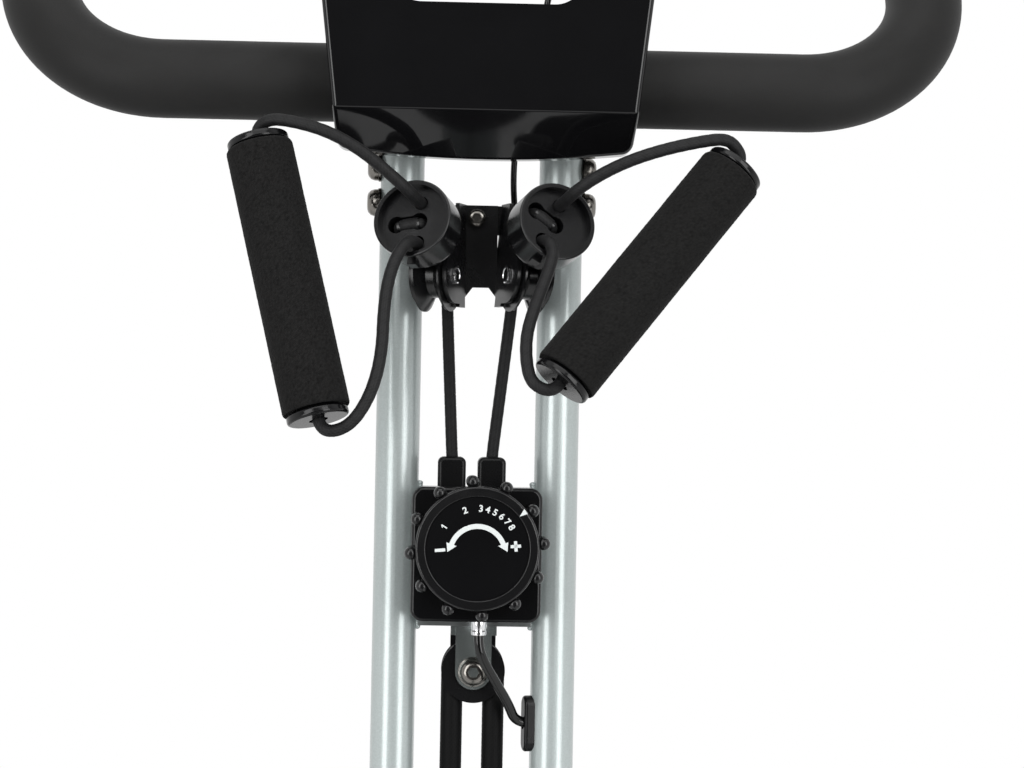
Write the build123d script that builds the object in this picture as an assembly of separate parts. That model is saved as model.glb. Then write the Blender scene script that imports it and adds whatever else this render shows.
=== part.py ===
from build123d import *
import os
from math import atan2, cos, degrees, pi, radians, sin, tan

# A folding upright exercise bike with arm bands, in millimetres.
# +Z is up, the rider faces +Y and sits behind the handlebar, and +X is the rider's right.
# The origin is on the floor, under the middle of the bike.

# Floor stance
STANCE = 760.0
STABILIZER_D = 50.0
STABILIZER_WALL = 1.8
FRONT_STABILIZER_L = 400.0
REAR_STABILIZER_L = 400.0
FOOT_R = 34.0
FOOT_AXIS_H = 32.0
FOOT_OVER_TUBE = 25.0
FOOT_BEYOND_TUBE = 32.0
FOOT_EDGE = 4.0
WHEEL_R = 20.0
WHEEL_W = 14.0
WHEEL_OUT = 20.0
WHEEL_DROP = 5.0
WHEEL_AXLE_D = 8.0
WHEEL_BEYOND_TUBE = 15.0

# Pivot and folding post
PIVOT_Y = 20.0
PIVOT_Z = 450.0
POST_LEAN = 22.0
POST_D = 22.0
POST_WALL = 1.5
POST_SPACING = 80.0
POST_ABOVE_PIVOT = 571.6
POST_TOP = -24.0
KNEE_BELOW_PIVOT = 60.0
KNEE_R = 120.0
PIVOT_AXLE_D = 12.0
PIVOT_SLEEVE_D = 34.0
PIVOT_BUSH_D = 16.0
PIVOT_BUSH_L = 14.0
FOLD_ANGLE = 28.0
FOLD_PIN_FROM_PIVOT = 70.0
LOCK_PLATE_T = 4.0
PIN_D = 8.0
PIN_TRAVEL = 8.0
PIN_KNOB_D = 26.0
PIN_KNOB_L = 20.0
PIN_BOSS_D = 16.0
PIN_BOSS_L = 5.0

# Main tube, seat post and saddle
MAIN_D = 44.5
MAIN_WALL = 2.0
MAIN_ABOVE_PIVOT = 200.0
CRADLE_T = 4.0
CRADLE_L = 90.0
CRADLE_BOLT_X = 32.0
SEAT_POST_D = 38.0
SEAT_POST_WALL = 1.8
SEAT_POST_IN = 175.0
SEAT_POST_OUT = 70.0
SEAT_STUB_L = 26.0
SEAT_PITCH = 30.0
SEAT_STOPS = 5
SEAT_PIN_BELOW_END = 30.0
SEAT_PLATE_W = 110.0
SEAT_PLATE_L = 150.0
SEAT_PLATE_T = 4.0
SADDLE_L = 270.0
SADDLE_W = 250.0
SADDLE_NOSE_W = 96.0
SADDLE_H = 62.0
SADDLE_BACK = 35.0
SADDLE_HAUNCH = 0.8
SADDLE_CORNER_OUT = 0.72
SADDLE_CORNER_IN = 0.24
SADDLE_LEVELS = ((0.0, 0.26), (0.4, 0.0), (0.78, 0.12), (1.0, 0.5))
SEAT_BUSH_L = 50.0
SEAT_BUSH_LIP = 5.0

# Drive
CRANK_BELOW_PIVOT = 210.0
SHELL_D = 35.0
SHELL_L = 60.0
CRANK_AXLE_D = 16.0
BEARING_D = 30.0
BEARING_W = 10.0
CRANK_L = 125.0
CRANK_ANGLE = -20.0
ARM_X = 64.0
ARM_T = 12.0
ARM_HUB_D = 34.0
ARM_TIP_D = 26.0
PEDAL_SPINDLE_D = 12.0
PEDAL_L = 98.0
PEDAL_W = 86.0
PEDAL_T = 24.0
PEDAL_GAP = 8.0
STRAP_W = 32.0
STRAP_T = 2.0
STRAP_H = 62.0
STRAP_SHOULDER = 0.9
DRIVE_PULLEY_R = 92.0
DRIVE_HOLES = 5
DRIVE_HOLE_D = 40.0
DRIVE_HOLE_RING = 55.0
SMALL_PULLEY_R = 14.0
BELT_X = 40.0
BELT_W = 10.0
BELT_T = 3.0
FLYWHEEL_R = 95.0
FLYWHEEL_T = 18.0
FLYWHEEL_RECESS_D = 142.0
FLYWHEEL_BELOW_PIVOT = 285.0
FLYWHEEL_GAP = 9.0
FLYWHEEL_AXLE_D = 12.0
MOUNT_BELOW_PIVOT = 318.0
MOUNT_PLATE_T = 4.0
MOUNT_RIGHT_X = 49.0
MAGNET_GAP = 2.5
MAGNET_T = 5.5
MAGNET_PIVOT_R = 55.0
MAGNET_PIN_D = 6.0
MAGNET_LEAD = 30.0
MAGNET_SPAN = 60.0
HOUSING_CRANK_R = 106.0
HOUSING_FLYWHEEL_R = 113.0
HOUSING_HALF_W = 58.0
HOUSING_WALL = 3.0
HOUSING_EDGE_R = 16.0
HOUSING_CRANK_SCREWS = (60.0, 165.0)
HOUSING_FLYWHEEL_SCREWS = (-75.0, 200.0)

# Handlebar and stem, in the post frame: x to the right, t up the post, n towards the rider
BAR_T = -2.0
BAR_N = 15.0
BAR_D = 25.4
BAR_WALL = 1.8
BAR_HALF_STRAIGHT = 159.0
BAR_BEND_R = 68.0
BAR_TILT = 33.0
BAR_ARM_L = 92.0
FOAM_D = 39.0
FOAM_INNER_X = 42.0
BAR_CAP_L = 9.0
STEM_PLATE_T = 4.0
STEM_BOTTOM = -76.0
STEM_TOP = 18.0
YOKE_T = 2.0
STEM_BOLT_TS = (-42.0, -60.0)
BOLT_D = 6.0
BOLT_HEAD_D = 13.0
BOLT_HEAD_H = 6.0

# Console and device holder, in the post frame
HOLDER_FRONT_N = 64.0
HOLDER_BACK_N = 38.0
HOLDER_LEDGE_T = -20.0
HOLDER_BOTTOM_T = -42.0
HOLDER_BOTTOM_N = 46.0
HOLDER_TOP_T = 130.0
HOLDER_BOTTOM_HALF_W = 74.0
HOLDER_TOP_HALF_W = 91.0
HOLDER_WALL = 3.0
HOLDER_SAG = 4.0
HOLDER_EDGE_R = 2.5
HOLDER_CORNER_R = 6.0
WINDOW_BOTTOM_T = 31.0
WINDOW_TOP_T = 68.0
WINDOW_HALF_W = 46.0
WINDOW_R = 14.0
CONSOLE_BOTTOM_T = 76.0
CONSOLE_TOP_T = 124.0
CONSOLE_HALF_W = 66.0
CONSOLE_D = 14.0
LENS_HALF_W = 44.0
LENS_H = 26.0
LENS_T = 2.0
LENS_X = -10.0
BUTTON_D = 12.0
BUTTON_H = 6.0
BUTTON_TRAVEL = 2.0
SENSOR_CABLE_D = 3.2

# Arm bands: pulleys, cups, guides, block and loop, in the post frame
CORD_D = 6.0
PULLEY_X = 22.0
PULLEY_T = -97.5
PULLEY_N = 26.0
PULLEY_ROPE_R = 14.5
PULLEY_R = 18.0
PULLEY_W = 14.0
PULLEY_AXLE_D = 6.0
RIVET_HEAD_D = 8.6
RIVET_HEAD_H = 1.0
PULL_X = 0.33
PULL_T = 0.27
CHEEK_T = 2.0
CHEEK_GAP = 0.7
CHEEK_R = 14.0
BRACKET_N = 11.5
BRACKET_TOP = -61.5
BRACKET_WEB_BOTTOM = -76.0
BRACKET_BOTTOM = -113.0
BRACKET_NOTCH_T = -102.5
BRACKET_NOTCH_TOP_W = 8.0
BRACKET_NOTCH_BOTTOM_W = 24.0
BRACKET_BOLT_T = -68.0
BRACKET_BOLT_X = -2.5
BRACKET_BOLT_HEAD_D = 8.6
CUP_D = 39.0
CUP_L = 22.0
CUP_FROM_PULLEY = 19.5
CUP_RECESS = 4.5
CUP_RIM = 2.2
LEFT_CUP_HOLES = ((2.5, 9.0), (2.5, -11.0))
RIGHT_CUP_HOLES = ((-1.5, 10.0), (-2.0, -10.5))
LEFT_CUP_TURN = 0.0
RIGHT_CUP_TURN = -25.0
CUP_HOLE_DEPTH = 12.5
CUP_SLOT_L = 20.0
CUP_SLOT_W = 6.8
CUP_EYE_D = 8.6
LEFT_CUP_SLOT = (-3.5, -1.0, 8.0)
RIGHT_CUP_SLOT = (-5.0, 0.5, -8.0)
GRIP_D = 32.5
GRIP_CORE_D = 22.0
GRIP_BORE = 9.0
GRIP_CAP_D = 29.5
GRIP_CAP_T = 4.0
GUIDE_X = 10.0
GUIDE_MIDDLE_X = -2.6
GUIDE_N = 5.0
GUIDE_TOP = -187.0
GUIDE_BOTTOM = -215.0
GUIDE_W = 14.0
GUIDE_BACK_N = -5.0
GUIDE_CORNER_R = 3.0
GUIDE_FLARE = 2.0
BLOCK_T = -294.5
BLOCK_N = -5.0
BLOCK_W = 18.0
BLOCK_HEAD_W = 23.0
BLOCK_PLATE_N = 8.0
BLOCK_PLATE_T = 2.0
BLOCK_TOP = -262.0
BLOCK_HEAD_T = -276.5
BLOCK_ROPE_X = 5.5
BLOCK_WASHER_D = 15.0
BLOCK_BOLT_D = 10.4
BLOCK_BOLT_H = 2.4
LOOP_D = 11.0
LOOP_R = 10.45
LOOP_WHEEL_R = 16.0
LOOP_WHEEL_W = 14.0
LOOP_AXLE_D = 6.0
ANCHOR_T = -444.5
ANCHOR_BAR_D = 18.0

# Tension knob, in the post frame
PLATE_T = -234.5
PLATE_SIDE_GAP = 1.0
PLATE_TOP = -202.0
PLATE_BOTTOM = -271.0
PLATE_N = 11.5
PLATE_THICK = 2.0
KNOB_BOX_W = 64.0
KNOB_BOX_H = 66.0
KNOB_BOX_N = 20.0
KNOB_BOX_R = 6.0
KNOB_T = -230.5
KNOB_R = 30.0
KNOB_H = 21.0
KNOB_BUMPS = 12
KNOB_BUMP_TURN = 25.0
KNOB_BUMP_R = 3.0
KNOB_BUMP_OUT = 2.2
KNOB_EDGE_R = 1.2
LEGEND_R = 25.0
LEGEND_SUNK = 1.2
CABLE_D = 5.0
FERRULE_D = 7.0
FERRULE_T = -274.8
FERRULE_X = 2.0
FERRULE_N = 22.0
GROMMET_T = -320.2
GROMMET_L = 28.0
GROMMET_W = 9.5
GROMMET_H = 4.0
GROMMET_EDGE_R = 1.5
SENSOR_GROMMET_D = 9.0
GROMMET_ANGLE = 12.0
CABLE_LEAD = 3.5

# Fits
RUN = 0.05
GAP = 0.5
HOLE = 0.2
CORD_HOLE = 0.4
BEND_SHARE = 0.45
FULL_TURN = 360.0

# Routes of the cords, chosen by hand, in the post frame
LEFT_UPPER_LOOP = [(-47, -51, 69), (-60, -41, 70.5), (-75, -33, 70.5), (-91, -28.5, 68.5),
                   (-103.5, -27, 65.5)]
LEFT_LOWER_LOOP = [(-38, -86, 69.5), (-42.5, -94.5, 74), (-45.5, -106, 77.5), (-46.8, -120, 80.5),
                   (-47, -134, 83.5), (-49, -148, 86.3), (-53.5, -161, 88.5), (-60.5, -171.5, 90),
                   (-68.8, -175.5, 90.3)]
RIGHT_UPPER_LOOP = [(46, -56.5, 69), (58, -49, 71), (71, -43, 72), (86, -38, 71.5), (102, -34, 69.5),
                    (115.2, -31.6, 65.5), (121.2, -36.1, 62.5)]
RIGHT_LOWER_LOOP = [(33.5, -87, 69.5), (31.5, -95.5, 74), (27.5, -106, 78), (23.5, -117, 81.5),
                    (20.5, -128, 84.5), (20.2, -139, 87), (22.2, -149.6, 89), (27.9, -153.9, 90)]
LEFT_GRIP = ((-108, -40, 62), (-76.8, -166.2, 88))
RIGHT_GRIP = ((118.4, -47.7, 62), (38.5, -148, 88))
GRIP_EXIT = 8.0
CUP_EXIT_UPPER = 9.5
CUP_EXIT_LOWER = 4.5
SENSOR_CABLE_ROUTE = [(34, 80, 34), (33, 55, 34.5), (29, 32, 35.5), (24, 10, 36), (19, -10, 34),
                      (16, -30, 20), (15.5, -46, 6), (16.5, -62, 2), (19, -77, 0), (24, -87, 0)]
SENSOR_CABLE_END = (33, -87, 0)
TENSION_CABLE_ROUTE = [(2, -280, 22), (4.5, -287.5, 20), (10.6, -298, 15), (17.6, -309.5, 9)]

# Derived places
FRONT_Y = STANCE / 2 + (FOOT_R - WHEEL_OUT - WHEEL_R) / 2
REAR_Y = FRONT_Y - STANCE
MAIN_LEAN = degrees(atan2(FRONT_Y - PIVOT_Y, PIVOT_Z - FOOT_AXIS_H))
PIVOT = Vector(0, PIVOT_Y, PIVOT_Z)
POST_UP = Vector(0, sin(radians(POST_LEAN)), cos(radians(POST_LEAN)))
POST_OUT = Vector(0, -cos(radians(POST_LEAN)), sin(radians(POST_LEAN)))
POST_ORIGIN = PIVOT + POST_UP * POST_ABOVE_PIVOT
POST_FRAME = Plane(origin=POST_ORIGIN, x_dir=(1, 0, 0), z_dir=POST_OUT)
SEAT_UP = Vector(0, -sin(radians(MAIN_LEAN)), cos(radians(MAIN_LEAN)))
SEAT_UNDER = Vector(0, -cos(radians(MAIN_LEAN)), -sin(radians(MAIN_LEAN)))
MAIN_FRAME = Plane(origin=PIVOT, x_dir=(1, 0, 0), z_dir=SEAT_UNDER)
POST_X = POST_SPACING / 2
POST_R = POST_D / 2
INNER_X = POST_X - POST_R
PLATE_HALF_W = INNER_X - PLATE_SIDE_GAP
STEM_LEG_D = POST_D - 2 * POST_WALL - HOLE
MAIN_BELOW_PIVOT = ((FRONT_Y - PIVOT_Y) ** 2 + (PIVOT_Z - FOOT_AXIS_H) ** 2) ** 0.5
CRANK_UNDER = MAIN_D / 2 + SHELL_D / 2 - MAIN_WALL
FLYWHEEL_OVER = MAIN_D / 2 + FLYWHEEL_GAP + FLYWHEEL_R
CRANK_CENTRE = (-CRANK_BELOW_PIVOT, CRANK_UNDER)
FLYWHEEL_CENTRE = (-FLYWHEEL_BELOW_PIVOT, -FLYWHEEL_OVER)
LEFT_MOUNT_X = -MAIN_D / 2 - MOUNT_PLATE_T
PEDAL_X = ARM_X + ARM_T + PEDAL_GAP + PEDAL_W / 2
FOLD_PIN_T = FOLD_PIN_FROM_PIVOT - POST_ABOVE_PIVOT
LOCK_PLATE_X = INNER_X - GAP
KNOB_BOX_BACK = PLATE_N + PLATE_THICK
KNOB_BOX_FRONT = KNOB_BOX_BACK + KNOB_BOX_N
SEAT_PIN_S = MAIN_ABOVE_PIVOT - SEAT_PIN_BELOW_END


def post_vector(point):
    """A place in the post frame, given in the world."""
    x, t, n = point
    return POST_ORIGIN + Vector(x, 0, 0) + POST_UP * t + POST_OUT * n


def main_vector(point):
    """A place in the main tube's frame (x, up the tube, under the tube), given in the world."""
    x, s, under = point
    return PIVOT + Vector(x, 0, 0) + SEAT_UP * s + SEAT_UNDER * under


def rod(start, end, diameter):
    """A solid cylinder between two points."""
    start, end = Vector(start), Vector(end)
    along = end - start
    centred = (Align.CENTER, Align.CENTER, Align.MIN)
    return Plane(origin=start, z_dir=along) * Cylinder(diameter / 2, along.length, align=centred)


def ring(start, end, outside, inside):
    """A hollow cylinder between two points."""
    return rod(start, end, outside) - rod(start, end, inside)


def x_rod(x0, x1, y, z, diameter):
    """A cylinder along X."""
    return rod((x0, y, z), (x1, y, z), diameter)


def block(x, y, z):
    """A box from its three ranges."""
    size = Box(x[1] - x[0], y[1] - y[0], z[1] - z[0])
    return Pos((x[0] + x[1]) / 2, (y[0] + y[1]) / 2, (z[0] + z[1]) / 2) * size


def side_sketch(x0, thickness, sketch):
    """A sketch in (y, z) raised along X from x0."""
    return extrude(Plane(origin=(x0, 0, 0), x_dir=(0, 1, 0), z_dir=(1, 0, 0)) * sketch, thickness)


def disc_at(centre, radius):
    return Pos(*centre) * Circle(radius)


def on_circle(centre, radius, turn):
    """A place on a circle, turned from its second axis towards its first."""
    return centre[0] + radius * sin(radians(turn)), centre[1] + radius * cos(radians(turn))


def hull_of(*discs):
    """The hull of discs given as (centre, radius)."""
    edges = Sketch() + [disc_at(centre, radius) for centre, radius in discs]
    return make_hull(edges.edges())


def on_post(shape):
    return POST_FRAME.location * shape


def on_main(shape):
    return MAIN_FRAME.location * shape


def mirrored(side, point):
    return (side * point[0], point[1], point[2])


def bend_radii(points):
    """The largest bend that each corner's shorter run allows."""
    radii = []
    for before, corner, after in zip(points, points[1:], points[2:]):
        run_in = corner - before
        run_out = after - corner
        half_turn = radians(run_in.get_angle(run_out)) / 2
        radii.append(BEND_SHARE * min(run_in.length, run_out.length) / tan(half_turn))
    return radii


def cord_tube(name, points, diameter):
    """A round cord along straight runs and tangent arcs."""
    points = [Vector(point) for point in points]
    radii = bend_radii(points)
    path = FilletPolyline(*points, radius=radii)
    tube = sweep(Plane(origin=points[0], z_dir=points[1] - points[0]) * Circle(diameter / 2), path=path)
    share = tube.volume / (pi * diameter ** 2 / 4 * path.length)
    print(name, "length", round(path.length, 1), "volume share", round(share, 4))
    return tube


def group(*shapes):
    """Separate solids that share one node."""
    solids = []
    for shape in shapes:
        solids.extend(shape.solids())
    return Compound(children=solids)


# Stabilizers and feet

def stabilizer(y, length):
    return ring((-length / 2, y, FOOT_AXIS_H), (length / 2, y, FOOT_AXIS_H), STABILIZER_D,
                STABILIZER_D - 2 * STABILIZER_WALL)


def end_cap(side, y, length):
    """A moulded foot over a stabilizer's end, cut flat where it stands."""
    inner = length / 2 - FOOT_OVER_TUBE
    outer = length / 2 + FOOT_BEYOND_TUBE
    body = x_rod(side * inner, side * outer, y, FOOT_AXIS_H, 2 * FOOT_R)
    outer_rim = body.faces().sort_by(Axis.X)[-1 if side > 0 else 0].edges()
    body = fillet(outer_rim, FOOT_EDGE)
    socket = x_rod(side * inner, side * length / 2, y, FOOT_AXIS_H, STABILIZER_D)
    below = block((-length, length), (y - 2 * FOOT_R, y + 2 * FOOT_R), (-2 * FOOT_R, 0))
    return body - socket - below


def wheel_place(side):
    x = side * (FRONT_STABILIZER_L / 2 + WHEEL_BEYOND_TUBE)
    return x, FRONT_Y + WHEEL_OUT, FOOT_AXIS_H - WHEEL_DROP


def front_end_caps():
    caps = []
    for side in (-1, 1):
        x, y, z = wheel_place(side)
        half = WHEEL_W / 2 + GAP
        slot = x_rod(x - half, x + half, y, z, 2 * WHEEL_R + 4 * GAP)
        reach = FOOT_BEYOND_TUBE
        axle_hole = x_rod(x - reach, x + reach, y, z, WHEEL_AXLE_D)
        caps.append(end_cap(side, FRONT_Y, FRONT_STABILIZER_L) - slot - axle_hole)
    return group(*caps)


def wheel_axle(side):
    x, y, z = wheel_place(side)
    half = FOOT_BEYOND_TUBE / 2 - FOOT_EDGE
    return x_rod(x - half, x + half, y, z, WHEEL_AXLE_D)


def transport_wheel(side):
    x, y, z = wheel_place(side)
    tyre = x_rod(x - WHEEL_W / 2, x + WHEEL_W / 2, y, z, 2 * WHEEL_R)
    tyre = fillet(tyre.edges(), WHEEL_W / 6)
    bore = x_rod(x - WHEEL_W, x + WHEEL_W, y, z, WHEEL_AXLE_D + 2 * RUN)
    return tyre - bore


# Main tube

def cradle_bolt(x):
    """A carriage bolt through the cradle and the front stabilizer, along the main tube."""
    foot = main_vector((x, -MAIN_BELOW_PIVOT, 0))
    along = SEAT_UP
    top = foot + along * (STABILIZER_D / 2 + CRADLE_T)
    bottom = foot - along * STABILIZER_D / 2
    shank = rod(bottom, top, WHEEL_AXLE_D)
    nut = rod(top, top + along * BOLT_HEAD_H, BOLT_HEAD_D)
    head = rod(bottom - along * CRADLE_T, bottom, BOLT_HEAD_D + CRADLE_T)
    curve = x_rod(x - BOLT_HEAD_D, x + BOLT_HEAD_D, FRONT_Y, FOOT_AXIS_H, STABILIZER_D)
    return shank + nut + (head - curve)


def bolt_channel(x):
    foot = main_vector((x, -MAIN_BELOW_PIVOT, 0))
    return rod(foot - SEAT_UP * STABILIZER_D, foot + SEAT_UP * STABILIZER_D, WHEEL_AXLE_D + 2 * HOLE)


def front_stabilizer():
    tube = stabilizer(FRONT_Y, FRONT_STABILIZER_L)
    return tube - bolt_channel(-CRADLE_BOLT_X) - bolt_channel(CRADLE_BOLT_X)


def lock_hole(angle):
    """Where the fold pin meets the lock plate, with the post turned back by this angle."""
    turn = radians(POST_LEAN + MAIN_LEAN - angle)
    return FOLD_PIN_FROM_PIVOT * cos(turn), -FOLD_PIN_FROM_PIVOT * sin(turn)


def lock_plate():
    edge = PIN_D / 2 + 2 * LOCK_PLATE_T
    sleeve_edge = PIVOT_SLEEVE_D / 2 + LOCK_PLATE_T
    outline = hull_of(((0, 0), sleeve_edge), (lock_hole(0), edge), (lock_hole(FOLD_ANGLE), edge))
    for angle in (0, FOLD_ANGLE):
        outline -= disc_at(lock_hole(angle), PIN_D / 2 + HOLE)
    return side_sketch(-LOCK_PLATE_X, LOCK_PLATE_T, outline)


def main_tube():
    """The main tube with its pivot sleeve, lock plate, crank shell, seat pin boss and cradle."""
    bottom = (0, -MAIN_BELOW_PIVOT, 0)
    top = (0, MAIN_ABOVE_PIVOT, 0)
    bore = MAIN_D - 2 * MAIN_WALL
    sleeve_x = INNER_X - GAP
    sleeve = x_rod(-sleeve_x, sleeve_x, 0, 0, PIVOT_SLEEVE_D)
    shell = x_rod(-SHELL_L / 2, SHELL_L / 2, *CRANK_CENTRE, SHELL_D)
    boss_end = -MAIN_D / 2 - PIN_BOSS_L
    boss = rod((0, SEAT_PIN_S, 0), (0, SEAT_PIN_S, boss_end), PIN_BOSS_D)
    cradle = x_rod(-CRADLE_L / 2, CRADLE_L / 2, -MAIN_BELOW_PIVOT, 0, STABILIZER_D + 2 * CRADLE_T)
    reach = 2 * STABILIZER_D
    lower_half = block((-reach, reach), (-MAIN_BELOW_PIVOT - reach, -MAIN_BELOW_PIVOT), (-reach, reach))
    body = rod(bottom, top, MAIN_D) + (cradle - lower_half) + boss
    body -= rod(bottom, top, bore)
    body += sleeve + shell + lock_plate()
    body -= x_rod(-reach, reach, -MAIN_BELOW_PIVOT, 0, STABILIZER_D)
    body -= x_rod(-reach, reach, 0, 0, PIVOT_BUSH_D)
    body -= x_rod(-reach, reach, *CRANK_CENTRE, BEARING_D)
    body -= rod((0, SEAT_PIN_S, 0), (0, SEAT_PIN_S, -reach), PIN_D + 2 * RUN)
    body = on_main(body)
    return body - bolt_channel(-CRADLE_BOLT_X) - bolt_channel(CRADLE_BOLT_X)


def pivot_bush(side):
    end = side * (INNER_X - GAP)
    return on_main(x_rod(end, end - side * PIVOT_BUSH_L, 0, 0, PIVOT_BUSH_D)
                   - x_rod(end, end - side * PIVOT_BUSH_L, 0, 0, PIVOT_AXLE_D + 2 * RUN))


def seat_bush():
    bore = MAIN_D - 2 * MAIN_WALL
    start = (0, MAIN_ABOVE_PIVOT - SEAT_BUSH_L, 0)
    rim = (0, MAIN_ABOVE_PIVOT, 0)
    end = (0, MAIN_ABOVE_PIVOT + SEAT_BUSH_LIP, 0)
    body = rod(start, rim, bore) + rod(rim, end, MAIN_D + MAIN_WALL)
    body -= rod(start, end, SEAT_POST_D + 2 * RUN)
    body -= rod((0, SEAT_PIN_S, 0), (0, SEAT_PIN_S, -MAIN_D), PIN_D + 2 * HOLE)
    return on_main(body)


def pivot_axle():
    half = POST_X + POST_R + BOLT_HEAD_H
    axle = x_rod(-half, half, 0, 0, PIVOT_AXLE_D)
    for side in (-1, 1):
        inner = side * (POST_X + POST_R)
        axle += x_rod(inner, side * half, 0, 0, PIVOT_AXLE_D + BOLT_HEAD_H)
    return on_main(axle)


# Seat

def seat_post():
    """The telescoping post with its row of stop holes, and the saddle plate on top."""
    low = (0, MAIN_ABOVE_PIVOT - SEAT_POST_IN, 0)
    high = (0, MAIN_ABOVE_PIVOT + SEAT_POST_OUT, 0)
    body = on_main(rod(low, high, SEAT_POST_D))
    elbow = main_vector(high)
    body += Pos(*elbow) * Sphere(SEAT_POST_D / 2)
    top = elbow + Vector(0, 0, SEAT_STUB_L)
    body += rod(elbow, top, SEAT_POST_D)
    inner = SEAT_POST_D - 2 * SEAT_POST_WALL
    body -= on_main(rod(low, high, inner))
    for stop in range(SEAT_STOPS):
        s = SEAT_PIN_S - stop * SEAT_PITCH
        body -= on_main(rod((0, s, 0), (0, s, -SEAT_POST_D), PIN_D + 2 * HOLE))
    middle_y = top.Y - SADDLE_BACK
    plate = block((-SEAT_PLATE_W / 2, SEAT_PLATE_W / 2),
                  (middle_y - SEAT_PLATE_L / 2, middle_y + SEAT_PLATE_L / 2), (top.Z, top.Z + SEAT_PLATE_T))
    plate = fillet(plate.edges().filter_by(Axis.Z), SEAT_PLATE_W / 8)
    return body + plate


def saddle_outline(inset):
    """The saddle's plan: wide behind, narrow at the nose."""
    half = SADDLE_W / 2 - inset
    nose = SADDLE_NOSE_W / 2 - inset
    back = -SADDLE_L / 2 + inset
    front = SADDLE_L / 2 - inset
    widest = back + half * SADDLE_HAUNCH
    waist = front - nose
    corner = (half * SADDLE_CORNER_OUT, back + half * SADDLE_CORNER_IN)
    edges = [
        ThreePointArc((0, back), corner, (half, widest)),
        Line((half, widest), (nose, waist)),
        ThreePointArc((nose, waist), (0, front), (-nose, waist)),
        Line((-nose, waist), (-half, widest)),
        ThreePointArc((-half, widest), (-corner[0], corner[1]), (0, back)),
    ]
    return make_face(edges)


def seat_cushion():
    """A padded saddle with a crown and drawn-in sides."""
    high = main_vector((0, MAIN_ABOVE_PIVOT + SEAT_POST_OUT, 0))
    base_z = high.Z + SEAT_STUB_L + SEAT_PLATE_T
    middle_y = high.Y - SADDLE_BACK
    faces = []
    for level, inset in SADDLE_LEVELS:
        plane = Plane(origin=(0, middle_y, base_z + level * SADDLE_H))
        faces.append(plane * saddle_outline(inset * SADDLE_H))
    return loft(faces)


def pull_pin(tip, outward, boss_gap):
    """A pull pin drawn back to its parked place: a shank and a round knob."""
    tip = Vector(tip)
    shank_end = tip + outward * boss_gap
    pin = rod(tip, shank_end, PIN_D)
    knob = rod(shank_end, shank_end + outward * PIN_KNOB_L, PIN_KNOB_D)
    knob = fillet(knob.edges(), PIN_KNOB_L / 5)
    return pin + knob


def seat_pin():
    tip_under = -(SEAT_POST_D / 2 + GAP)
    length = MAIN_D / 2 + PIN_BOSS_L + PIN_TRAVEL + 2 * GAP + tip_under
    return pull_pin(main_vector((0, SEAT_PIN_S, tip_under)), SEAT_UNDER * -1, length)


def fold_pin():
    tip_x = -INNER_X
    boss_end = POST_X + POST_R + PIN_BOSS_L
    length = boss_end + PIN_TRAVEL + 2 * GAP + tip_x
    return pull_pin(post_vector((tip_x, FOLD_PIN_T, 0)), Vector(-1, 0, 0), length)


# Drive

def crank_world(x):
    return main_vector((x, *CRANK_CENTRE))


def crank_tip(side, x):
    turn = radians(CRANK_ANGLE)
    out = Vector(0, cos(turn), sin(turn)) * (CRANK_L * side)
    return crank_world(x) + out


def housing_solid(shrink):
    """The drive housing's outside, or its hollow when shrunk by the wall."""
    half = HOUSING_HALF_W - shrink
    crank_r = HOUSING_CRANK_R - shrink
    flywheel_r = HOUSING_FLYWHEEL_R - shrink
    outline = hull_of((CRANK_CENTRE, crank_r), (FLYWHEEL_CENTRE, flywheel_r))
    body = side_sketch(-half, 2 * half, outline)
    rims = body.faces().sort_by(Axis.X)
    return fillet(rims[0].edges() + rims[-1].edges(), HOUSING_EDGE_R - shrink)


def housing_half(side):
    reach = 2 * MAIN_BELOW_PIVOT
    body = housing_solid(0) - housing_solid(HOUSING_WALL)
    body -= rod((0, -reach, 0), (0, reach, 0), MAIN_D + 4 * GAP)
    body -= x_rod(-reach, reach, *CRANK_CENTRE, CRANK_AXLE_D + 8 * GAP)
    for screw_s, screw_u in housing_screws():
        body -= x_rod(0, side * reach, screw_s, screw_u, BOLT_D)
    keep = block((0, side * reach) if side > 0 else (-reach, 0), (-reach, reach), (-reach, reach))
    return on_main(body & keep)


def housing_screws():
    """Screw places just inside the housing's rim, out of the way of the drive."""
    inset = HOUSING_EDGE_R + BOLT_HEAD_D / 2
    crank_r = HOUSING_CRANK_R - inset
    flywheel_r = HOUSING_FLYWHEEL_R - inset
    places = [on_circle(CRANK_CENTRE, crank_r, turn) for turn in HOUSING_CRANK_SCREWS]
    places += [on_circle(FLYWHEEL_CENTRE, flywheel_r, turn) for turn in HOUSING_FLYWHEEL_SCREWS]
    return places


def housing_screw(side, place):
    shank = x_rod(side * (HOUSING_HALF_W - HOUSING_WALL), side * HOUSING_HALF_W, *place, BOLT_D)
    head_in = side * HOUSING_HALF_W
    head = x_rod(head_in, head_in + side * HOUSING_WALL, *place, BOLT_HEAD_D - HOUSING_WALL)
    return on_main(shank + head)


def mount_plate(x):
    edge = FLYWHEEL_AXLE_D + CHEEK_T
    return side_sketch(x, MOUNT_PLATE_T, hull_of(((-MOUNT_BELOW_PIVOT, 0), edge), (FLYWHEEL_CENTRE, edge)))


def magnet_pivot():
    """The magnet bracket's pin, on the line from the flywheel to the mount."""
    away_s = -MOUNT_BELOW_PIVOT - FLYWHEEL_CENTRE[0]
    away_u = -FLYWHEEL_CENTRE[1]
    length = (away_s ** 2 + away_u ** 2) ** 0.5
    return (FLYWHEEL_CENTRE[0] + MAGNET_PIVOT_R * away_s / length,
            FLYWHEEL_CENTRE[1] + MAGNET_PIVOT_R * away_u / length)


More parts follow.
